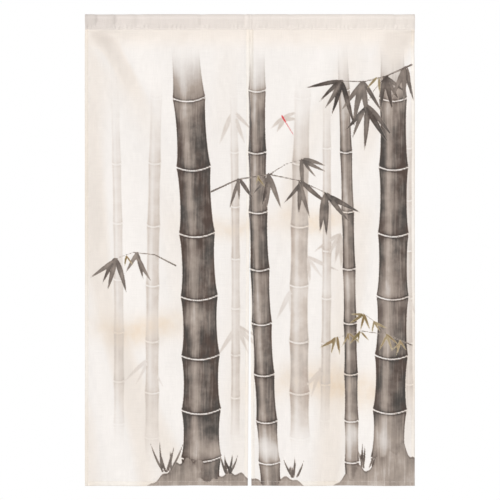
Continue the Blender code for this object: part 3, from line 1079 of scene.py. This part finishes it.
centre_z = -POCKET_WALL - CHANNEL_RADIUS
turn = np.linspace(0.0, math.pi / 2, LIP_POINTS)
lip_round = np.stack([-LIP_HALF * np.sin(turn), LIP_HALF * (1.0 - np.cos(turn)) - POCKET_DROP], axis=1)
teardrop = round_side(CHANNEL_RADIUS + POCKET_WALL, centre_z, LIP_HALF, LIP - POCKET_DROP)
sleeve_ring, sleeve_normals = closed_outline(np.concatenate([lip_round, teardrop]), RING_POINTS)
channel = round_side(CHANNEL_RADIUS, centre_z, CHANNEL_TIP / 2, FOOT_HEIGHT - POCKET_DROP)
channel = np.concatenate([[(0.0, FOOT_HEIGHT - POCKET_DROP)], channel])
channel_ring, channel_normals = closed_outline(channel, RING_POINTS // 2)
print("points round the outside and the channel:", len(sleeve_ring), len(channel_ring))

# %% [markdown]
# The creases come in three sizes. A short table holds the broad ones, which the solids have
# too, and a second one the sharp ones that only this cloth has: each falls away steeply on
# its left and rises gently on its right. Many fine ones are laid by seeded dice: each leans
# a little, and starts either at the seam or at the top. In the middle, where the two panels
# meet, two hems make a pair of ridges with a groove between them.

# %% Gathers of the sleeve
GATHER_COLUMNS = ("x", "half_width", "depth")
GATHERS = (
    (-0.392, 0.011, -0.0013),
    (-0.368, 0.012, 0.0008),
    (-0.34, 0.01, -0.001),
    (-0.283, 0.013, -0.0008),
    (-0.196, 0.02, 0.0006),
    (-0.118, 0.014, -0.0006),
    (-0.018, 0.01, -0.0009),
    (0.03, 0.012, 0.0006),
    (0.131, 0.016, -0.0006),
    (0.236, 0.011, -0.001),
    (0.262, 0.012, 0.0006),
    (0.352, 0.014, -0.0008),
    (0.404, 0.01, -0.0008),
)
SHARP_COLUMNS = ("x", "fall", "rise", "depth")
SHARP_GATHERS = (
    (-0.386, 0.0055, 0.026, 0.003),
    (-0.339, 0.0055, 0.022, 0.0026),
    (-0.287, 0.007, 0.012, 0.0013),
    (-0.124, 0.006, 0.014, 0.001),
    (-0.013, 0.0035, 0.003, 0.001),
    (0.007, 0.003, 0.004, 0.0009),
    (0.102, 0.006, 0.014, 0.0008),
    (0.372, 0.007, 0.018, 0.0018),
)
FINE_SEED = 41
FINE_GATHERS = 110
FINE_LEAN = 0.3
FINE_HALF_WIDTHS = (0.0016, 0.0046)
FINE_DEPTHS = (0.00008, 0.00042)
FINE_REACHES = (0.007, 0.024)
FROM_SEAM = 0.6  # share of the fine ones that start at the seam
SEAM_UP = 0.0036  # height of the stitches over the foot
SEAM_GROOVE = 0.00048
SEAM_GROOVE_HALF = 0.0012
SEAM_PUCKER_SEED = 59
SEAM_PUCKER = 0.00024
SEAM_PUCKER_UP = 0.003  # over the stitches
SEAM_PUCKER_REACH = 0.006
MIDDLE_GROOVE = 0.0007
MIDDLE_GROOVE_HALF = 0.001
MIDDLE_RIDGE = 0.00045
RIDGE_AT = 0.45  # in widths of a hem
RIDGE_HALF_WIDTH = 0.35
TAUT_TOP = 0.8  # share of the creases that is gone at the sleeve's top
TAUT_OVER = 0.007
SHARP_TAUT_TOP = 0.4
SHARP_TAUT_OVER = 0.004


def gathered(x, z, back):
    """How far the sleeve's skin is pushed outwards: the tables' bells across x, fine creases
    that lean, the groove and ridges in the middle, and the seam's groove and puckers."""
    loose = eased((z + POCKET_DROP - FOOT_HEIGHT / 2) / FOOT_HEIGHT)
    push = loose * sum(row["depth"] * bell(x - row["x"], row["half_width"])
                       for row in rows(GATHER_COLUMNS, GATHERS))
    over_seam = z + POCKET_DROP - SEAM_UP
    dice = np.random.default_rng(FINE_SEED + back)
    for _ in range(FINE_GATHERS):
        at = dice.uniform(-HUNG_WIDTH / 2, HUNG_WIDTH / 2)
        lean = dice.normal(0.0, FINE_LEAN)
        width = dice.uniform(*FINE_HALF_WIDTHS)
        depth = -dice.uniform(*FINE_DEPTHS)
        reach = dice.uniform(*FINE_REACHES)
        faded = bell(over_seam, reach) if dice.random() < FROM_SEAM else bell(z, reach)
        push = push + depth * bell(x - at - lean * over_seam, width) * faded
    push = push - SEAM_GROOVE * bell(over_seam, SEAM_GROOVE_HALF)
    near_seam = bell(over_seam - SEAM_PUCKER_UP, SEAM_PUCKER_REACH)
    push = push + SEAM_PUCKER * (pucker(x, SEAM_PUCKER_SEED + back) * near_seam)
    ridges = bell(np.abs(x) - RIDGE_AT * HEM, RIDGE_HALF_WIDTH * HEM)
    push = push + MIDDLE_RIDGE * ridges - MIDDLE_GROOVE * bell(x, MIDDLE_GROOVE_HALF)
    push = push * (1.0 - TAUT_TOP * eased(z / TAUT_OVER + 1.0))
    high = 1.0 - SHARP_TAUT_TOP * eased(z / SHARP_TAUT_OVER + 1.0)
    for row in rows(SHARP_COLUMNS, SHARP_GATHERS):
        off = x - row["x"]
        half_width = np.where(off < 0.0, row["fall"], row["rise"])
        push = push - loose * high * row["depth"] * bell(off, half_width)
    return push


print("gathers:", len(GATHERS), "broad,", len(SHARP_GATHERS), "sharp and", FINE_GATHERS, "fine")

# %% [markdown]
# The skins are rings of points at many places along x. The outer ring is dense, the inner
# one half as dense, and at both open ends the same five-cornered faces join them. At the
# ends the cloth is hemmed, which thickens the wall.

# %% The rod pocket
STATION_STEP = 0.0016
CHANNEL_FREED_OVER = 0.006  # height over which the channel begins to follow the skin


def sleeve_skin(x, ring, normals, push):
    """Points of a skin: the ring moved along its normals by push, at every station."""
    y = ring[:, 0] + normals[:, 0] * push
    z = np.minimum(ring[:, 1] + normals[:, 1] * push, 0.0)
    return np.stack([x, y, z], axis=-1)


def make_pocket():
    """The sleeve: outer and inner skins at every station, closed by a rim at both ends."""
    marks = hem_marks(HEM) + mirrored(hem_marks(HEM), HUNG_WIDTH)
    stations = spaced(marks, STATION_STEP) - HUNG_WIDTH / 2
    x, ring_y = np.meshgrid(stations, sleeve_ring[:, 0], indexing="ij")
    ring_z = np.broadcast_to(sleeve_ring[:, 1], x.shape)
    end_in = HUNG_WIDTH / 2 - np.abs(x)
    thick, groove = hem_profile(end_in, HEM)
    push = np.where(ring_y > 0, gathered(x, ring_z, 1), gathered(x, ring_z, 0))
    push = push - GROOVE_DEPTH * groove
    drawn_in = edge_draw(end_in, HEM_CLOTH)
    deepest = LEAST_PUSHED * np.maximum(np.abs(ring_y), LIP_HALF)
    outer = sleeve_skin(x, sleeve_ring, sleeve_normals, np.maximum(push - drawn_in, -deepest))
    free = eased((channel_ring[:, 1] + POCKET_DROP - FOOT_HEIGHT) / CHANNEL_FREED_OVER)
    wall = (HEM_CLOTH - POCKET_WALL) * thick[HALF] - drawn_in[HALF]
    inner = sleeve_skin(x[HALF], channel_ring, channel_normals, (push[HALF] - wall) * free)
    steps = np.hypot(*np.diff(sleeve_ring, axis=0).T)
    run = np.broadcast_to(np.concatenate([[0.0], np.cumsum(steps)]) - POCKET_DROP, x.shape)
    cloth_map = np.stack([on_both(x), on_both(run)], axis=-1)
    return make_piece("rod_pocket_cloth", *closed(outer, inner, sleeve=True), cloth_map)


pocket = make_pocket()

# %% [markdown]
# Hems are held by a machine's lockstitch: short stitches of thread, end to end, each an arch
# that rises from one hole and dives into the next. One stitch is a few rings of points round
# an arched line. A whole seam is the same stitch at many places, worked out at once as an
# array, and each point takes its height from the cloth's own surface under it, so a seam
# follows every fold.

# %% Stitches as an array
PITCH = 0.003
STITCH_LENGTH = 0.0027
STITCH_LENGTHS = (0.93, 1.05)  # shares of it between which one stitch varies
STITCH_TURN = (0.06, 0.04)  # mean and spread of a stitch's turn off its seam, in radians
THREAD = 0.00023  # the thread's radius
THREAD_THINNED = 0.45  # share of it that is gone at a stitch's ends
STITCH_RISE = 0.00022
STITCH_DIVE = 0.0003
RINGS = 5
SECTION = 5


def stitch_points(x, z, heading, surface, outward, dice):
    """Points of many stitches, (stitches, rings, section, 3). Along a stitch, t goes from -1
    to 1, its height is rise * (1 - t * t) - dive * t ** 4, and its radius is that of the
    thread * (1 - thinned * t ** 4)."""
    count = len(x)
    t = np.linspace(-1.0, 1.0, RINGS)[None, :, None]
    round_turn = np.linspace(0.0, 2.0 * math.pi, SECTION, endpoint=False)[None, None, :]
    turned = (heading + dice.normal(*STITCH_TURN, count))[:, None, None]
    length = (STITCH_LENGTH * dice.uniform(*STITCH_LENGTHS, count))[:, None, None]
    radius = THREAD * (1.0 - THREAD_THINNED * t**4)
    along = t * length / 2 + 0.0 * round_turn
    across = radius * np.cos(round_turn)
    height = STITCH_RISE * (1.0 - t * t) - STITCH_DIVE * t**4 + radius * np.sin(round_turn)
    px = x[:, None, None] + along * np.cos(turned) - across * np.sin(turned)
    pz = z[:, None, None] + along * np.sin(turned) + across * np.cos(turned)
    py = surface(px, pz) + outward * height
    return np.stack(np.broadcast_arrays(px, py, pz), axis=-1)


def stitch_faces(count, outward):
    """Quads round every stitch and a face at each of its ends."""
    index = np.arange(count * RINGS * SECTION).reshape(count, RINGS, SECTION)
    beside = np.roll(index, -1, axis=2)
    corners = [index[:, :-1], index[:, 1:], beside[:, 1:], beside[:, :-1]]
    sides = np.stack(corners, axis=-1).reshape(-1, 4)
    ends = np.concatenate([index[:, 0], index[:, -1, ::-1]])
    if outward < 0:
        return sides[:, ::-1], ends[:, ::-1]
    return sides, ends


def sewn(name, seams, seed):
    """One piece of thread from several seams. A seam is (x, z, heading, surface, outward)."""
    dice = np.random.default_rng(seed)
    points, sides, ends, first = [], [], [], 0
    for x, z, heading, surface, outward in seams:
        stitched = stitch_points(x, z, heading, surface, outward, dice).reshape(-1, 3)
        side_faces, end_faces = stitch_faces(len(x), outward)
        points.append(stitched)
        sides.append(side_faces + first)
        ends.append(end_faces + first)
        first += len(stitched)
    return make_piece(name, np.concatenate(points), [np.concatenate(sides), np.concatenate(ends)])


print("one stitch has", RINGS * SECTION, "points")

# %% [markdown]
# Each panel is sewn along both sides and its foot, and the pocket along its seam. Where the
# two panels join, short slanting stitches cross from one hem to the other, and a few close
# ones lock the end of the join, where the most strain comes when somebody walks through.

# %% The seams
SEAM_SEEDS = {"left": 71, "right": 72, "pocket": 81, "join": 83}
SEAM_STARTS = 0.002  # in from the end of the cloth
FOOT_SEAM_IN = 0.003
JOIN_STARTS = 0.003  # under the pocket
JOIN_PITCH = 0.0042
JOIN_SLANT = 0.35
JOIN_BESIDE = 0.0016  # from the join to where its stitches lie on the hems
LOCK_ABOVE = 0.004
LOCK_BELOW = 0.003
LOCK_PITCH = 0.0009


def evenly(begin, end, pitch=PITCH):
    """The middles of even steps of about one pitch."""
    count = max(2, round(abs(end - begin) / pitch))
    return begin + (end - begin) * (np.arange(count) + 0.5) / count


def panel_surface(side, back):
    """Y of a panel's front face, or of its back face, as a function of x and z."""
    return lambda px, pz: panel_faces(side, px, pz)[back]


def panel_seams(side):
    """Seams of a panel's side hems and foot hem, on the front and on the back."""
    sewn_in = HEM - STITCH_IN
    foot_z = FOOT_HEM - STITCH_IN - DROP
    z = evenly(-POCKET_DROP - SEAM_STARTS, foot_z)
    left, right = panel_edges(side, z)
    foot_left, foot_right = panel_edges(side, np.array(foot_z))
    x = evenly(float(foot_left) + FOOT_SEAM_IN, float(foot_right) - FOOT_SEAM_IN)
    lines = ((left + sewn_in, z, math.pi / 2), (right - sewn_in, z, math.pi / 2),
             (x, np.full(x.shape, foot_z), 0.0))
    return [(*line, panel_surface(side, back), outward)
            for back, outward in enumerate((-1.0, 1.0)) for line in lines]


def lip_surface(back):
    """Y of the lip's face on the front or on the back, no deeper than the lip's skin goes."""
    hand = 1.0 if back else -1.0
    deepest = -LEAST_PUSHED * LIP_HALF
    return lambda px, pz: hand * (LIP_HALF + np.maximum(gathered(px, pz, back), deepest))


def pocket_seams():
    """The pocket's seam, on the front and on the back."""
    x = evenly(SEAM_STARTS - HUNG_WIDTH / 2, HUNG_WIDTH / 2 - SEAM_STARTS)
    z = np.full(x.shape, SEAM_UP - POCKET_DROP)
    return [(x, z, 0.0, lip_surface(back), 1.0 if back else -1.0) for back in (0, 1)]


def join_surface(back):
    """Y of the hems beside the join, of whichever panel stands out more."""
    def surface(px, pz):
        beside = [panel_faces(side, hand * JOIN_BESIDE + 0.0 * px, pz)[back]
                  for side, hand in (("left", -1), ("right", 1))]
        return np.maximum(*beside) if back else np.minimum(*beside)

    return surface


def join_seams():
    """Slanting stitches across the join, from under the pocket down to the join's end."""
    z = evenly(-POCKET_DROP - JOIN_STARTS, -JOIN_DROP, JOIN_PITCH)
    lock_z = evenly(-JOIN_DROP + LOCK_ABOVE, -JOIN_DROP - LOCK_BELOW, LOCK_PITCH)
    both_z = np.concatenate([z, lock_z])
    x = np.zeros(both_z.shape)
    return [(x, both_z, JOIN_SLANT, join_surface(0), -1.0),
            (x, both_z, -JOIN_SLANT, join_surface(1), 1.0)]


stitching = {side: sewn(f"panel_{side}_stitches", panel_seams(side), SEAM_SEEDS[side]) for side in SIDES}
pocket_stitching = sewn("pocket_stitches", pocket_seams(), SEAM_SEEDS["pocket"])
join_stitching = sewn("join_stitches", join_seams(), SEAM_SEEDS["join"])
threads = [*stitching.values(), pocket_stitching, join_stitching]

# %% [markdown]
# Shader nodes are easier to read as sums. A wire is one output of a node, and arithmetic on
# wires adds Math nodes. Every other node comes from one method, which takes the node's type,
# its settings and the values or wires of its sockets.

# %% Wires
def arithmetic(operation, swapped=False):
    """A method of wires that adds a Math node of that operation."""
    def method(self, other):
        pair = (other, self) if swapped else (self, other)
        return self.finish.node("Math", {"operation": operation}, dict(enumerate(pair)))

    return method


class Wire:
    """One output socket, with arithmetic that adds Math nodes."""

    __add__ = __radd__ = arithmetic("ADD")
    __sub__ = arithmetic("SUBTRACT")
    __rsub__ = arithmetic("SUBTRACT", swapped=True)
    __mul__ = __rmul__ = arithmetic("MULTIPLY")
    __truediv__ = arithmetic("DIVIDE")
    __pow__ = arithmetic("POWER")

    def __init__(self, finish, socket):
        self.finish, self.socket = finish, socket

    def maths(self, operation, *others):
        """A Math node of that operation on this wire and any others."""
        return self.finish.node("Math", {"operation": operation}, dict(enumerate((self, *others))))

    def ramp(self, low, high):
        """0 at low, 1 at high, smooth between them. high may be under low."""
        settings = {"interpolation_type": "SMOOTHSTEP"}
        start, end = (0.0, 1.0) if low < high else (1.0, 0.0)
        values = {0: self, 1: min(low, high), 2: max(low, high), 3: start, 4: end}
        return self.finish.node("MapRange", settings, values)


class Finish:
    """A material and its nodes."""

    def __init__(self, name):
        self.material = bpy.data.materials.new(name)
        self.material.use_nodes = True
        self.tree = self.material.node_tree
        self.shader = self.tree.nodes["Principled BSDF"]
        self.output = self.tree.nodes["Material Output"]

    def node(self, kind, settings=None, values=None, output=0):
        """One output of a new node with these settings and values or wires of its sockets."""
        made = self.tree.nodes.new("ShaderNode" + kind)
        for setting, value in (settings or {}).items():
            setattr(made, setting, value)
        for key, value in (values or {}).items():
            self.put(made.inputs[key], value)
        return Wire(self, made.outputs[output])

    def put(self, socket, value):
        """Links a wire to a socket, or sets the socket's own value."""
        if isinstance(value, Wire):
            self.tree.links.new(value.socket, socket)
        else:
            socket.default_value = value

    def value_of(self, name):
        """A named value of the mesh's points."""
        return self.node("Attribute", {"attribute_name": name}, output=2)

    def blend(self, factor, first, second):
        """A colour from first to second by a factor."""
        return self.node("Mix", {"data_type": "RGBA"}, {0: factor, 6: first, 7: second}, output=2)

    def tinted(self, factor, colour, tint):
        """A colour multiplied by a tint, by a factor."""
        return self.node("Mix", {"data_type": "RGBA", "blend_type": "MULTIPLY"},
                         {0: factor, 6: colour, 7: tint}, output=2)

    def scaled(self, vector, factor):
        """A colour or a place times a factor."""
        return self.node("VectorMath", {"operation": "SCALE"}, {0: vector, 3: factor})

    def stretched(self, place, along_u, along_v):
        """The cloth's map scaled by two different factors."""
        return self.node("VectorMath", {"operation": "MULTIPLY"}, {0: place, 1: (along_u, along_v, 1.0)})

    def axes(self, place):
        """The three parts of a place."""
        apart = self.node("SeparateXYZ", None, {0: place})
        return [Wire(self, socket) for socket in apart.socket.node.outputs]

    def surface(self, colour, roughness, relief, strength, depth):
        """Gives the shader a colour, a roughness and a relief of that depth."""
        bumped = self.node("Bump", None, {"Strength": strength, "Distance": depth, "Height": relief})
        for name, value in (("Base Color", colour), ("Roughness", roughness), ("Normal", bumped)):
            self.put(self.shader.inputs[name], value)

    def noise(self, place, scale, detail=2.0, roughness=0.5):
        """Smooth chance values from 0 to 1, with scale as cells to the metre."""
        return self.node("TexNoise", None, {"Vector": place, "Scale": scale, "Detail": detail,
                                            "Roughness": roughness})


print("wires ready")

# %% [markdown]
# The cloth is a plain weave of slightly uneven yarn, as linen and its imitations are: each
# warp thread goes over one weft thread and under the next. With a = sin(pi * u) and
# b = cos(pi * v) counted in threads, a warp thread's height is (|a| + a * b) / 2 and a weft
# thread's is (|b| - a * b) / 2, and the higher one shows. Thick places in the yarn, slubs,
# come from noise that is stretched along the threads.

# %% The weave
THREAD_PITCH = 0.00085
WEAVE_HEIGHT = 0.0001
SLUB_FINE = 1100.0  # noise cells to the metre, across a thread
WARP_SLUB = 26.0  # and along it
WEFT_SLUB = 22.0
WANDER_CELLS = 60.0  # noise cells to the metre
WANDER = 0.5  # how far a thread wanders, in threads
THINNEST = 0.25  # least height of a thread, whatever its slubs
SLUB_RELIEF = 0.8


def weave(finish, place):
    """(height, slub) of the cloth: the weave's relief from 0 to 1, and its uneven yarn."""
    warp_slub = finish.noise(finish.stretched(place, SLUB_FINE, WARP_SLUB), 1.0)
    weft_slub = finish.noise(finish.stretched(place, WEFT_SLUB, SLUB_FINE), 1.0)
    u, v, _ = finish.axes(place)
    wander = finish.noise(place, WANDER_CELLS, 1.0) * WANDER
    a = ((u / THREAD_PITCH + wander) * math.pi).maths("SINE")
    b = ((v / THREAD_PITCH + wander) * math.pi).maths("COSINE")
    product = a * b
    warp = (a.maths("ABSOLUTE") + product) * (warp_slub + THINNEST)
    weft = (b.maths("ABSOLUTE") - product) * (weft_slub + THINNEST)
    slub = (warp_slub + weft_slub) * 0.5
    return warp.maths("MAXIMUM", weft) * 0.5 + (slub - 0.5) * SLUB_RELIEF, slub


print(f"{0.01 / THREAD_PITCH:.0f} threads to the centimetre")

# %% [markdown]
# Printing sinks into the yarn, so the cloth keeps its own roughness under the ink. Each layer
# of the print is laid over the one before. Its edge is roughened by noise, as ink creeps
# along threads. Inside, a wash wanders between a grey and a brown ink, is mottled, and pools
# darker at its rim, and a dry brush leaves pale streaks. Ink thinned with water looks warmer
# than ink at full strength, so up to half strength a layer goes towards its diluted colour.
# Paler ink lets more light through the cloth than black ink does.

# %% Ink on cloth
BLACK_INK = (0.036, 0.031, 0.029, 1.0)
BROWN_BLACK_INK = (0.046, 0.03, 0.024, 1.0)
GREY_INK = (0.046, 0.04, 0.036, 1.0)
BROWN_INK = (0.067, 0.043, 0.034, 1.0)
PALE_GREY_INK = (0.3, 0.262, 0.235, 1.0)
PALE_BROWN_INK = (0.345, 0.255, 0.205, 1.0)
TAN = (0.745, 0.552, 0.347, 1.0)
OCHRE = (0.205, 0.112, 0.03, 1.0)
OLIVE = (0.15, 0.108, 0.034, 1.0)
RED = (0.6, 0.036, 0.045, 1.0)
TAUPE_WASH = (0.368, 0.306, 0.266, 1.0)
PALE_TAUPE_WASH = (0.59, 0.52, 0.47, 1.0)
OCHRE_WASH = (0.52, 0.44, 0.3, 1.0)
RED_WASH = (0.74, 0.42, 0.42, 1.0)
CREEP = 0.0014  # how far ink creeps out at most
CREEP_CELLS = 420.0  # noise cells to the metre
RIM = (-0.0052, -0.0008)  # where a stroke's darker rim begins and ends
COVERING = 1.75  # over 1, thin ink covers more
HAZE = 0.8
HAZE_MOTTLING = 0.45
INK_NOISES = (
    # cells to the metre across and down, detail, roughness, and the values that give 0 and 1
    (26.0, 26.0, 5.0, 0.62, 0.3, 0.7),  # mottle
    (190.0, 10.0, 3.0, 0.6, 0.42, 0.7),  # streaks
    (30.0, 11.0, 5.0, 0.6, 0.38, 0.62),  # tone, from one ink to the other
)
PRINT_COLUMNS = ("layer", "diluted", "colour", "other_colour", "softness", "streaks", "mottling", "rim")
PRINT = (
    ("far", PALE_TAUPE_WASH, PALE_GREY_INK, PALE_BROWN_INK, 0.0022, 0.15, 0.4, 0.15),
    ("near", TAUPE_WASH, GREY_INK, BROWN_INK, 0.001, 0.28, 0.32, 0.34),
    ("leaves", TAUPE_WASH, BLACK_INK, BROWN_BLACK_INK, 0.0009, 0.1, 0.34, 0.12),
    ("ochre", OCHRE_WASH, OCHRE, OLIVE, 0.0009, 0.1, 0.35, 0.15),
    ("red", RED_WASH, RED, RED, 0.0009, 0.0, 0.25, 0.1),
)


def printed(finish, place, base):
    """(colour, ink) of the print over a base colour. ink is 0 on bare cloth."""
    creep = (finish.noise(place, CREEP_CELLS) - 0.5) * (2.0 * CREEP)
    mottle, streak, tone = (
        finish.noise(finish.stretched(place, across, down), 1.0, detail, roughness).ramp(low, high)
        for across, down, detail, roughness, low, high in INK_NOISES
    )
    mottled = mottle * HAZE_MOTTLING + (1.0 - HAZE_MOTTLING)
    haze = finish.value_of("tan_mist") * mottled * HAZE
    colour = finish.blend(haze, base, TAN)
    inked = None
    for row in rows(PRINT_COLUMNS, PRINT):
        edge = finish.value_of(f"{row['layer']}_edge") + creep
        inside = edge.ramp(row["softness"], -row["softness"])
        rim = edge.ramp(*RIM) * row["rim"]
        wash = (1.0 - mottle * row["mottling"]) * (1.0 - streak * row["streaks"]) + rim
        strength = finish.value_of(f"{row['layer']}_ink") * wash
        strength = 1.0 - (1.0 - strength).maths("MAXIMUM", 0.0) ** COVERING
        laid = inside * strength
        colour = finish.blend(laid * 2.0, colour, row["diluted"])
        full = finish.blend(tone, row["colour"], row["other_colour"])
        colour = finish.blend(laid * 2.0 - 1.0, colour, full)
        inked = laid if inked is None else inked.maths("MAXIMUM", laid)
    return colour, inked


print("layers of the print:", [row[0] for row in PRINT])

# %% [markdown]
# The bare cloth is cream. Where it lies double it lets less light through and looks a little
# darker, so the hems and the pocket are a shade below the panels. In the shade of a fold the
# light has bounced between the cloth's sides and is warmer. The print is on the front, and it
# shows through faintly on the back. A share of the light passes through thin cloth,
# which a translucent shader gives; its own colour is fixed, and the share varies.

# %% Finishes of the cloth
CREAM = (0.866, 0.842, 0.832, 1.0)
CREAM_DOUBLED = (0.854, 0.814, 0.77, 1.0)
# painted shade along the hems' rounded outer and foot edges
CREAM_EDGE_SHADED = (0.76, 0.715, 0.66, 1.0)
# the pocket's colour at its left end and at its right; the step between them is painted shade at the
# left and painted light at the right
POCKET_CREAM = (0.784, 0.722, 0.684, 1.0)
POCKET_CREAM_RIGHT = (0.846, 0.784, 0.735, 1.0)
SHADE_TINT = (1.012, 0.974, 0.932, 1.0)
DEEP_SHADE_TINT = (0.93, 0.917, 0.908, 1.0)
SHOW_THROUGH = (0.93, 0.88, 0.8, 1.0)
BACK_OF_PRINT = 0.38  # share of the print's strength
CLOTH_ROUGHNESS = 0.92
CLOTH_SHEEN = {"Sheen Weight": 0.15, "Sheen Roughness": 0.5}
CLOTH_RELIEF = 0.7
SLUB_TINT = 0.34
SOILING = 0.05
SOILING_CELLS = 7.0
THROUGH = 0.24  # share of the light that single cloth lets through
LESS_DOUBLED = 0.1
STOPPED_BY_INK = 0.8
# painted shade at the pocket's ends and over its rounded top
POCKET_PAINTED_SHADE = (
    # the way a place is measured, where the painted shade begins, where it is full, share darker
    ("outwards", 0.3, 0.415, 0.045),
    ("outwards", 0.408, 0.418, 0.07),
    ("up", -0.0105, -0.006, 0.045),
    ("right", -0.315, -0.35, 0.032),
)


def panel_cream(finish):
    """(colour, how far the cloth is doubled) of a panel before it is printed."""
    doubled = finish.value_of("doubled")
    cream = finish.blend(doubled.ramp(0.0, 1.0), CREAM, CREAM_DOUBLED)
    # above 1, painted shade along the rounded edges
    cream = finish.blend(doubled.ramp(1.0, 2.0), cream, CREAM_EDGE_SHADED)
    shade = finish.value_of("shaded")
    cream = finish.tinted(shade, cream, SHADE_TINT)
    cream = finish.tinted(shade - 1.0, cream, DEEP_SHADE_TINT)
    return cream, doubled.maths("MINIMUM", 1.0)


def pocket_cream(finish):
    """The same of the pocket, which is double all over. Painted light and shade lie on it: it is paler
    towards its right end, a little darker at both ends, most of all on the left, and darker over its
    rounded top."""
    x, _, z = finish.axes(finish.node("TexCoord", output=3))
    # painted light and shade: darker at the left end, paler at the right
    cream = finish.blend(x.ramp(-HUNG_WIDTH / 2, HUNG_WIDTH / 2), POCKET_CREAM, POCKET_CREAM_RIGHT)
    ways = {"outwards": x.maths("ABSOLUTE"), "up": z, "right": x}
    # painted shade: darker towards both ends and over the top
    painted_shade = sum(ways[way].ramp(begin, full) * share for way, begin, full, share in POCKET_PAINTED_SHADE)
    return finish.scaled(cream, 1.0 - painted_shade), 1.0


def cloth_finish(name, unprinted, with_print):
    """Woven cloth: unprinted gives its colour, and the print may lie over it."""
    finish = Finish(name)
    place = finish.node("UVMap", {"uv_map": "cloth"})
    height, slub = weave(finish, place)
    soiling = finish.noise(place, SOILING_CELLS, 3.0)
    bare, doubled = unprinted(finish)
    bare = finish.scaled(bare, (slub - 0.5) * SLUB_TINT + (soiling - 0.5) * SOILING + 1.0)
    colour, through = bare, THROUGH - doubled * LESS_DOUBLED
    if with_print:
        inked_colour, inked = printed(finish, place, bare)
        seen = finish.value_of("face") * (1.0 - BACK_OF_PRINT) + BACK_OF_PRINT
        colour = finish.blend(seen, bare, inked_colour)
        through = through * (1.0 - inked * STOPPED_BY_INK)
    finish.surface(colour, CLOTH_ROUGHNESS, height, CLOTH_RELIEF, WEAVE_HEIGHT)
    for name, value in CLOTH_SHEEN.items():
        finish.put(finish.shader.inputs[name], value)
    light = finish.node("BsdfTranslucent", None, {"Color": SHOW_THROUGH})
    opaque = Wire(finish, finish.shader.outputs[0])
    mixed = finish.node("MixShader", None, {0: through, 1: opaque, 2: light})
    finish.put(finish.output.inputs["Surface"], mixed)
    return finish.material


panel_finish = cloth_finish("printed_linen", panel_cream, True)
pocket_finish = cloth_finish("pocket_linen", pocket_cream, False)
for panel in panels.values():
    panel.data.materials.append(panel_finish)
pocket.data.materials.append(pocket_finish)
print("nodes in the printed finish:", len(panel_finish.node_tree.nodes))

# %% [markdown]
# Sewing thread is a little smoother and brighter than the cloth. It is twisted, so fine bands slant
# round it, and painted shade darkens the grooves between them.

# %% The thread
THREAD_CREAM = (0.86, 0.82, 0.76, 1.0)
THREAD_GROOVE_SHADE = (0.66, 0.62, 0.56, 1.0)
TWIST_SCALE = 227.48  # the wave node then has a band every 2.8 mm along an axis
TWIST_DISTORTION = 0.4
TWIST_DEPTH = 0.00005
THREAD_RELIEF = 0.5
THREAD_ROUGHNESS = 0.62


def thread_finish():
    """Twisted thread: a wave's bands give its relief and a painted shade, darker in the grooves."""
    finish = Finish("sewing_thread")
    place = finish.node("TexCoord", output=3)
    settings = {"wave_type": "BANDS", "bands_direction": "DIAGONAL"}
    values = {"Vector": place, "Scale": TWIST_SCALE, "Distortion": TWIST_DISTORTION}
    bands = finish.node("TexWave", settings, values, output=1)
    # painted shade: darker where the twist's relief is low
    twisted = finish.blend(bands, THREAD_GROOVE_SHADE, THREAD_CREAM)
    finish.surface(twisted, THREAD_ROUGHNESS, bands, THREAD_RELIEF, TWIST_DEPTH)
    return finish.material


thread = thread_finish()
for piece in threads:
    piece.data.materials.append(thread)
print("thread on", len(threads), "pieces")

# %% [markdown]
# Last, each piece is fastened to the frame. It stands for its solid, which is hidden, and moves with the
# only body.

for side, panel in panels.items():
    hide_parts(f"panel_{side}")
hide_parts("rod_pocket")
for piece in (*panels.values(), pocket, *threads):
    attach(piece, "root")
